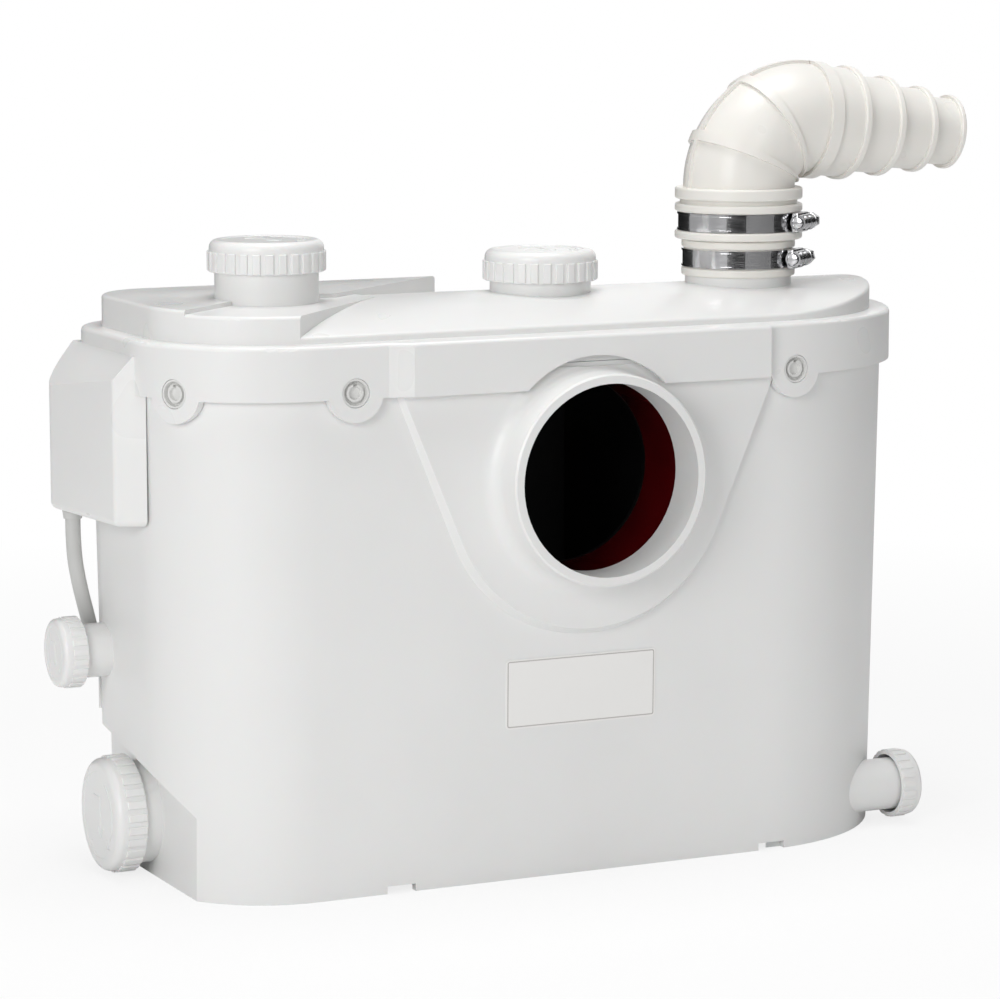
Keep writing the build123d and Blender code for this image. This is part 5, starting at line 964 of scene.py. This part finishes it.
@dataclass
class Studio:
    """Floor, soft lights, dark cards, pale world and the camera at the photograph's angle."""

    camera_place: tuple[float, float, float] = (-0.89113, -1.83021, 0.48590)
    tilt: float = 81.64
    heading: float = -25.7
    lens: float = 137.9
    aim: Vector = field(default_factory=lambda: Vector((0, 0, 0.2)))
    sky: float = 0.34
    shown: float = 1.0              # a white that the camera and polished metal see
    near: float = 0.45              # within this distance the floor keeps all of its shadow
    far: float = 1.1                # and from this distance on it is as white as the world
    near_share: float = 0.8

    def camera(self) -> None:
        """Place the camera."""
        turn = (radians(self.tilt), 0, radians(self.heading))
        bpy.ops.object.camera_add(location=self.camera_place, rotation=turn)
        camera = named("photo_camera")
        camera.data.lens = self.lens
        camera.data.sensor_width = 36.0
        camera.data.clip_end = 50.0
        bpy.context.scene.camera = camera

    def softbox(self, name: str, place: tuple[float, float, float], size: float, power: float) -> None:
        """Hang one square soft light that looks at the object.

        Args:
            name: the light's name.
            place: its centre.
            size: its width and height.
            power: its power in watts.
        """
        bpy.ops.object.light_add(type="AREA", location=place)
        lamp = named(name)
        lamp.data.size = size
        lamp.data.energy = power
        lamp.rotation_euler = (self.aim - Vector(place)).to_track_quat("-Z", "Y").to_euler()

    def lights(self) -> None:
        """Hang the softboxes: one to the left, one in front and one above."""
        self.softbox("key_softbox", (-1.85, -1.45, 0.9), 1.0, 20.0)
        self.softbox("front_softbox", (-0.3, -2.3, 1.2), 0.9, 5.0)
        self.softbox("top_softbox", (0.0, 0.0, 2.1), 1.2, 22.0)

    def card(self, name: str, turn: float, width: float, tone: str) -> None:
        """Stand one upright card round the object that only polished surfaces mirror.

        Args:
            name: the card's name.
            turn: where it stands, in degrees from +X.
            width: its width.
            tone: its colour.
        """
        reach, height = 2.6, 2.4
        bpy.ops.mesh.primitive_plane_add(size=1)
        card = named(name)
        card.scale = (width, height, 1)
        stand = Matrix.Rotation(radians(turn), 4, "Z") @ Matrix.Translation((reach, 0, height / 2))
        upright = Matrix.Rotation(radians(-90), 4, "Y") @ Matrix.Rotation(radians(90), 4, "Z")
        card.matrix_world = stand @ upright @ Matrix.Diagonal((width, height, 1, 1))
        paint = bpy.data.materials.new(name + "_cloth")
        paint.use_nodes = True
        shader = paint.node_tree.nodes["Principled BSDF"]
        shader.inputs["Base Color"].default_value = hex_colour(tone)
        shader.inputs["Roughness"].default_value = 1.0
        card.data.materials.append(paint)
        card.visible_camera = card.visible_diffuse = card.visible_shadow = False

    def cards(self) -> None:
        """Stand the cards that give the clamps' bands their dark stripes."""
        self.card("dark_card_front", -120.5, 1.74, "050505")
        self.card("dark_card_left", 100.0, 3.6, "0a0a0a")
        self.card("grey_card_right", -75.0, 2.65, "9a9a9a")
        self.card("dark_card_right", -10.0, 4.0, "1c1c1c")

    def world(self) -> None:
        """White to the camera and in reflections, plain soft light otherwise."""
        world = bpy.data.worlds.new("white_studio")
        bpy.context.scene.world = world
        world.use_nodes = True
        tree = world.node_tree
        tree.nodes.clear()
        path = add_node(tree, "ShaderNodeLightPath")
        light = add_node(tree, "ShaderNodeBackground", {"Color": (1, 1, 1, 1), "Strength": self.sky})
        shown = add_node(tree, "ShaderNodeBackground", {"Color": (1, 1, 1, 1), "Strength": self.shown})
        direct = add_node(tree, "ShaderNodeMath", {
            0: path.outputs["Is Camera Ray"], 1: path.outputs["Is Transmission Ray"]}, operation="MAXIMUM")
        seen = add_node(tree, "ShaderNodeMath", {
            0: direct.outputs[0], 1: path.outputs["Is Glossy Ray"]}, operation="MAXIMUM")
        mixed = add_node(tree, "ShaderNodeMixShader", {
            0: seen.outputs[0], 1: light.outputs[0], 2: shown.outputs[0]})
        add_node(tree, "ShaderNodeOutputWorld", {"Surface": mixed.outputs[0]})

    def floor(self) -> None:
        """Lay the pale floor, which keeps the object's shadow and fades to white away from it."""
        bpy.ops.mesh.primitive_plane_add(size=30.0, location=(0, 0, 0))
        floor = named("studio_floor")
        paint = bpy.data.materials.new("pale_studio_floor")
        paint.use_nodes = True
        tree = paint.node_tree
        shader = tree.nodes["Principled BSDF"]
        shader.inputs["Base Color"].default_value = hex_colour("f6f6f6")
        shader.inputs["Roughness"].default_value = 1.0
        shader.inputs["Specular IOR Level"].default_value = 0.0
        place = add_node(tree, "ShaderNodeTexCoord").outputs["Object"]
        distance = add_node(tree, "ShaderNodeVectorMath", {0: place}, operation="LENGTH").outputs["Value"]
        share = add_node(tree, "ShaderNodeMapRange", {
            "Value": distance, "From Min": self.near, "From Max": self.far, "To Min": self.near_share,
            "To Max": 1.0})
        path = add_node(tree, "ShaderNodeLightPath")
        glow = add_node(tree, "ShaderNodeEmission", {"Color": (1, 1, 1, 1), "Strength": self.shown})
        part = add_node(tree, "ShaderNodeMath", {
            0: path.outputs["Is Camera Ray"], 1: share.outputs[0]}, operation="MULTIPLY")
        mixed = add_node(tree, "ShaderNodeMixShader", {
            0: part.outputs[0], 1: shader.outputs[0], 2: glow.outputs[0]})
        tree.links.new(mixed.outputs[0], tree.nodes["Material Output"].inputs["Surface"])
        floor.data.materials.append(paint)

    def build(self) -> None:
        """Set the stage."""
        self.camera()
        self.floor()
        self.world()
        self.lights()
        self.cards()
        bpy.context.scene.view_settings.view_transform = "Standard"


def screw_caps() -> list[ScrewCap]:
    """The five caps: three large and two small."""
    large = dict(
        ribs=28, rib_share=0.75, crown=4.2 * MM, rib_depth=1.1 * MM, band=11.0 * MM, wall=2.4 * MM,
        top=3.0 * MM)
    small = dict(
        ribs=22, rib_share=0.72, crown=2.6 * MM, rib_depth=0.7 * MM, band=8.6 * MM, wall=1.9 * MM,
        top=2.6 * MM)
    caps = []
    for name, facing, sizes in (
            ("top_left", Facing.UP, large), ("top_middle", Facing.UP, large),
            ("left_large", Facing.LEFT, large),
            ("left_small", Facing.LEFT, small), ("right_small", Facing.RIGHT, small)):
        caps.append(ScrewCap(node=name + "_cap", facing=facing, body=name + "_screw_cap", **sizes))
    return caps


def hose_clamps() -> list[HoseClamp]:
    """The two clamps, the lower on the sleeve and the upper on the elbow's cuff."""
    clamps = []
    for name, inner, screw_body, slot_turn in (
            ("lower_clamp", 29.65 * MM, "lower_screw", 45.0),
            ("upper_clamp", 32.15 * MM, "upper_screw", 0.0)):
        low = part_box(name + "_band")[0]
        clamps.append(HoseClamp(
            name=name, centre=(134.3 * MM, 0.0), inner=inner, foot=low.z, screw_body=screw_body,
            slot_turn=slot_turn))
    return clamps


def main() -> None:
    """Build the looks, one sub-assembly after the other."""
    logging.basicConfig(level=logging.INFO, format="%(name)s: %(message)s")
    deselect()
    Studio().build()
    log.info("studio is set")
    PackedFinishes().build()
    log.info("packed nodes are dressed")
    MainsLead().build()
    log.info("mains lead is laid")
    Housing().build()
    log.info("tank and lid are rounded")
    LidClips().build()
    FrontLabel().build()
    log.info("rivets and label are built")
    for clamp in hose_clamps():
        clamp.build()
        log.info("%s is built", clamp.name)
    for cap in screw_caps():
        cap.build()
        log.info("%s is built", cap.node)


if __name__ == "__main__":
    main()
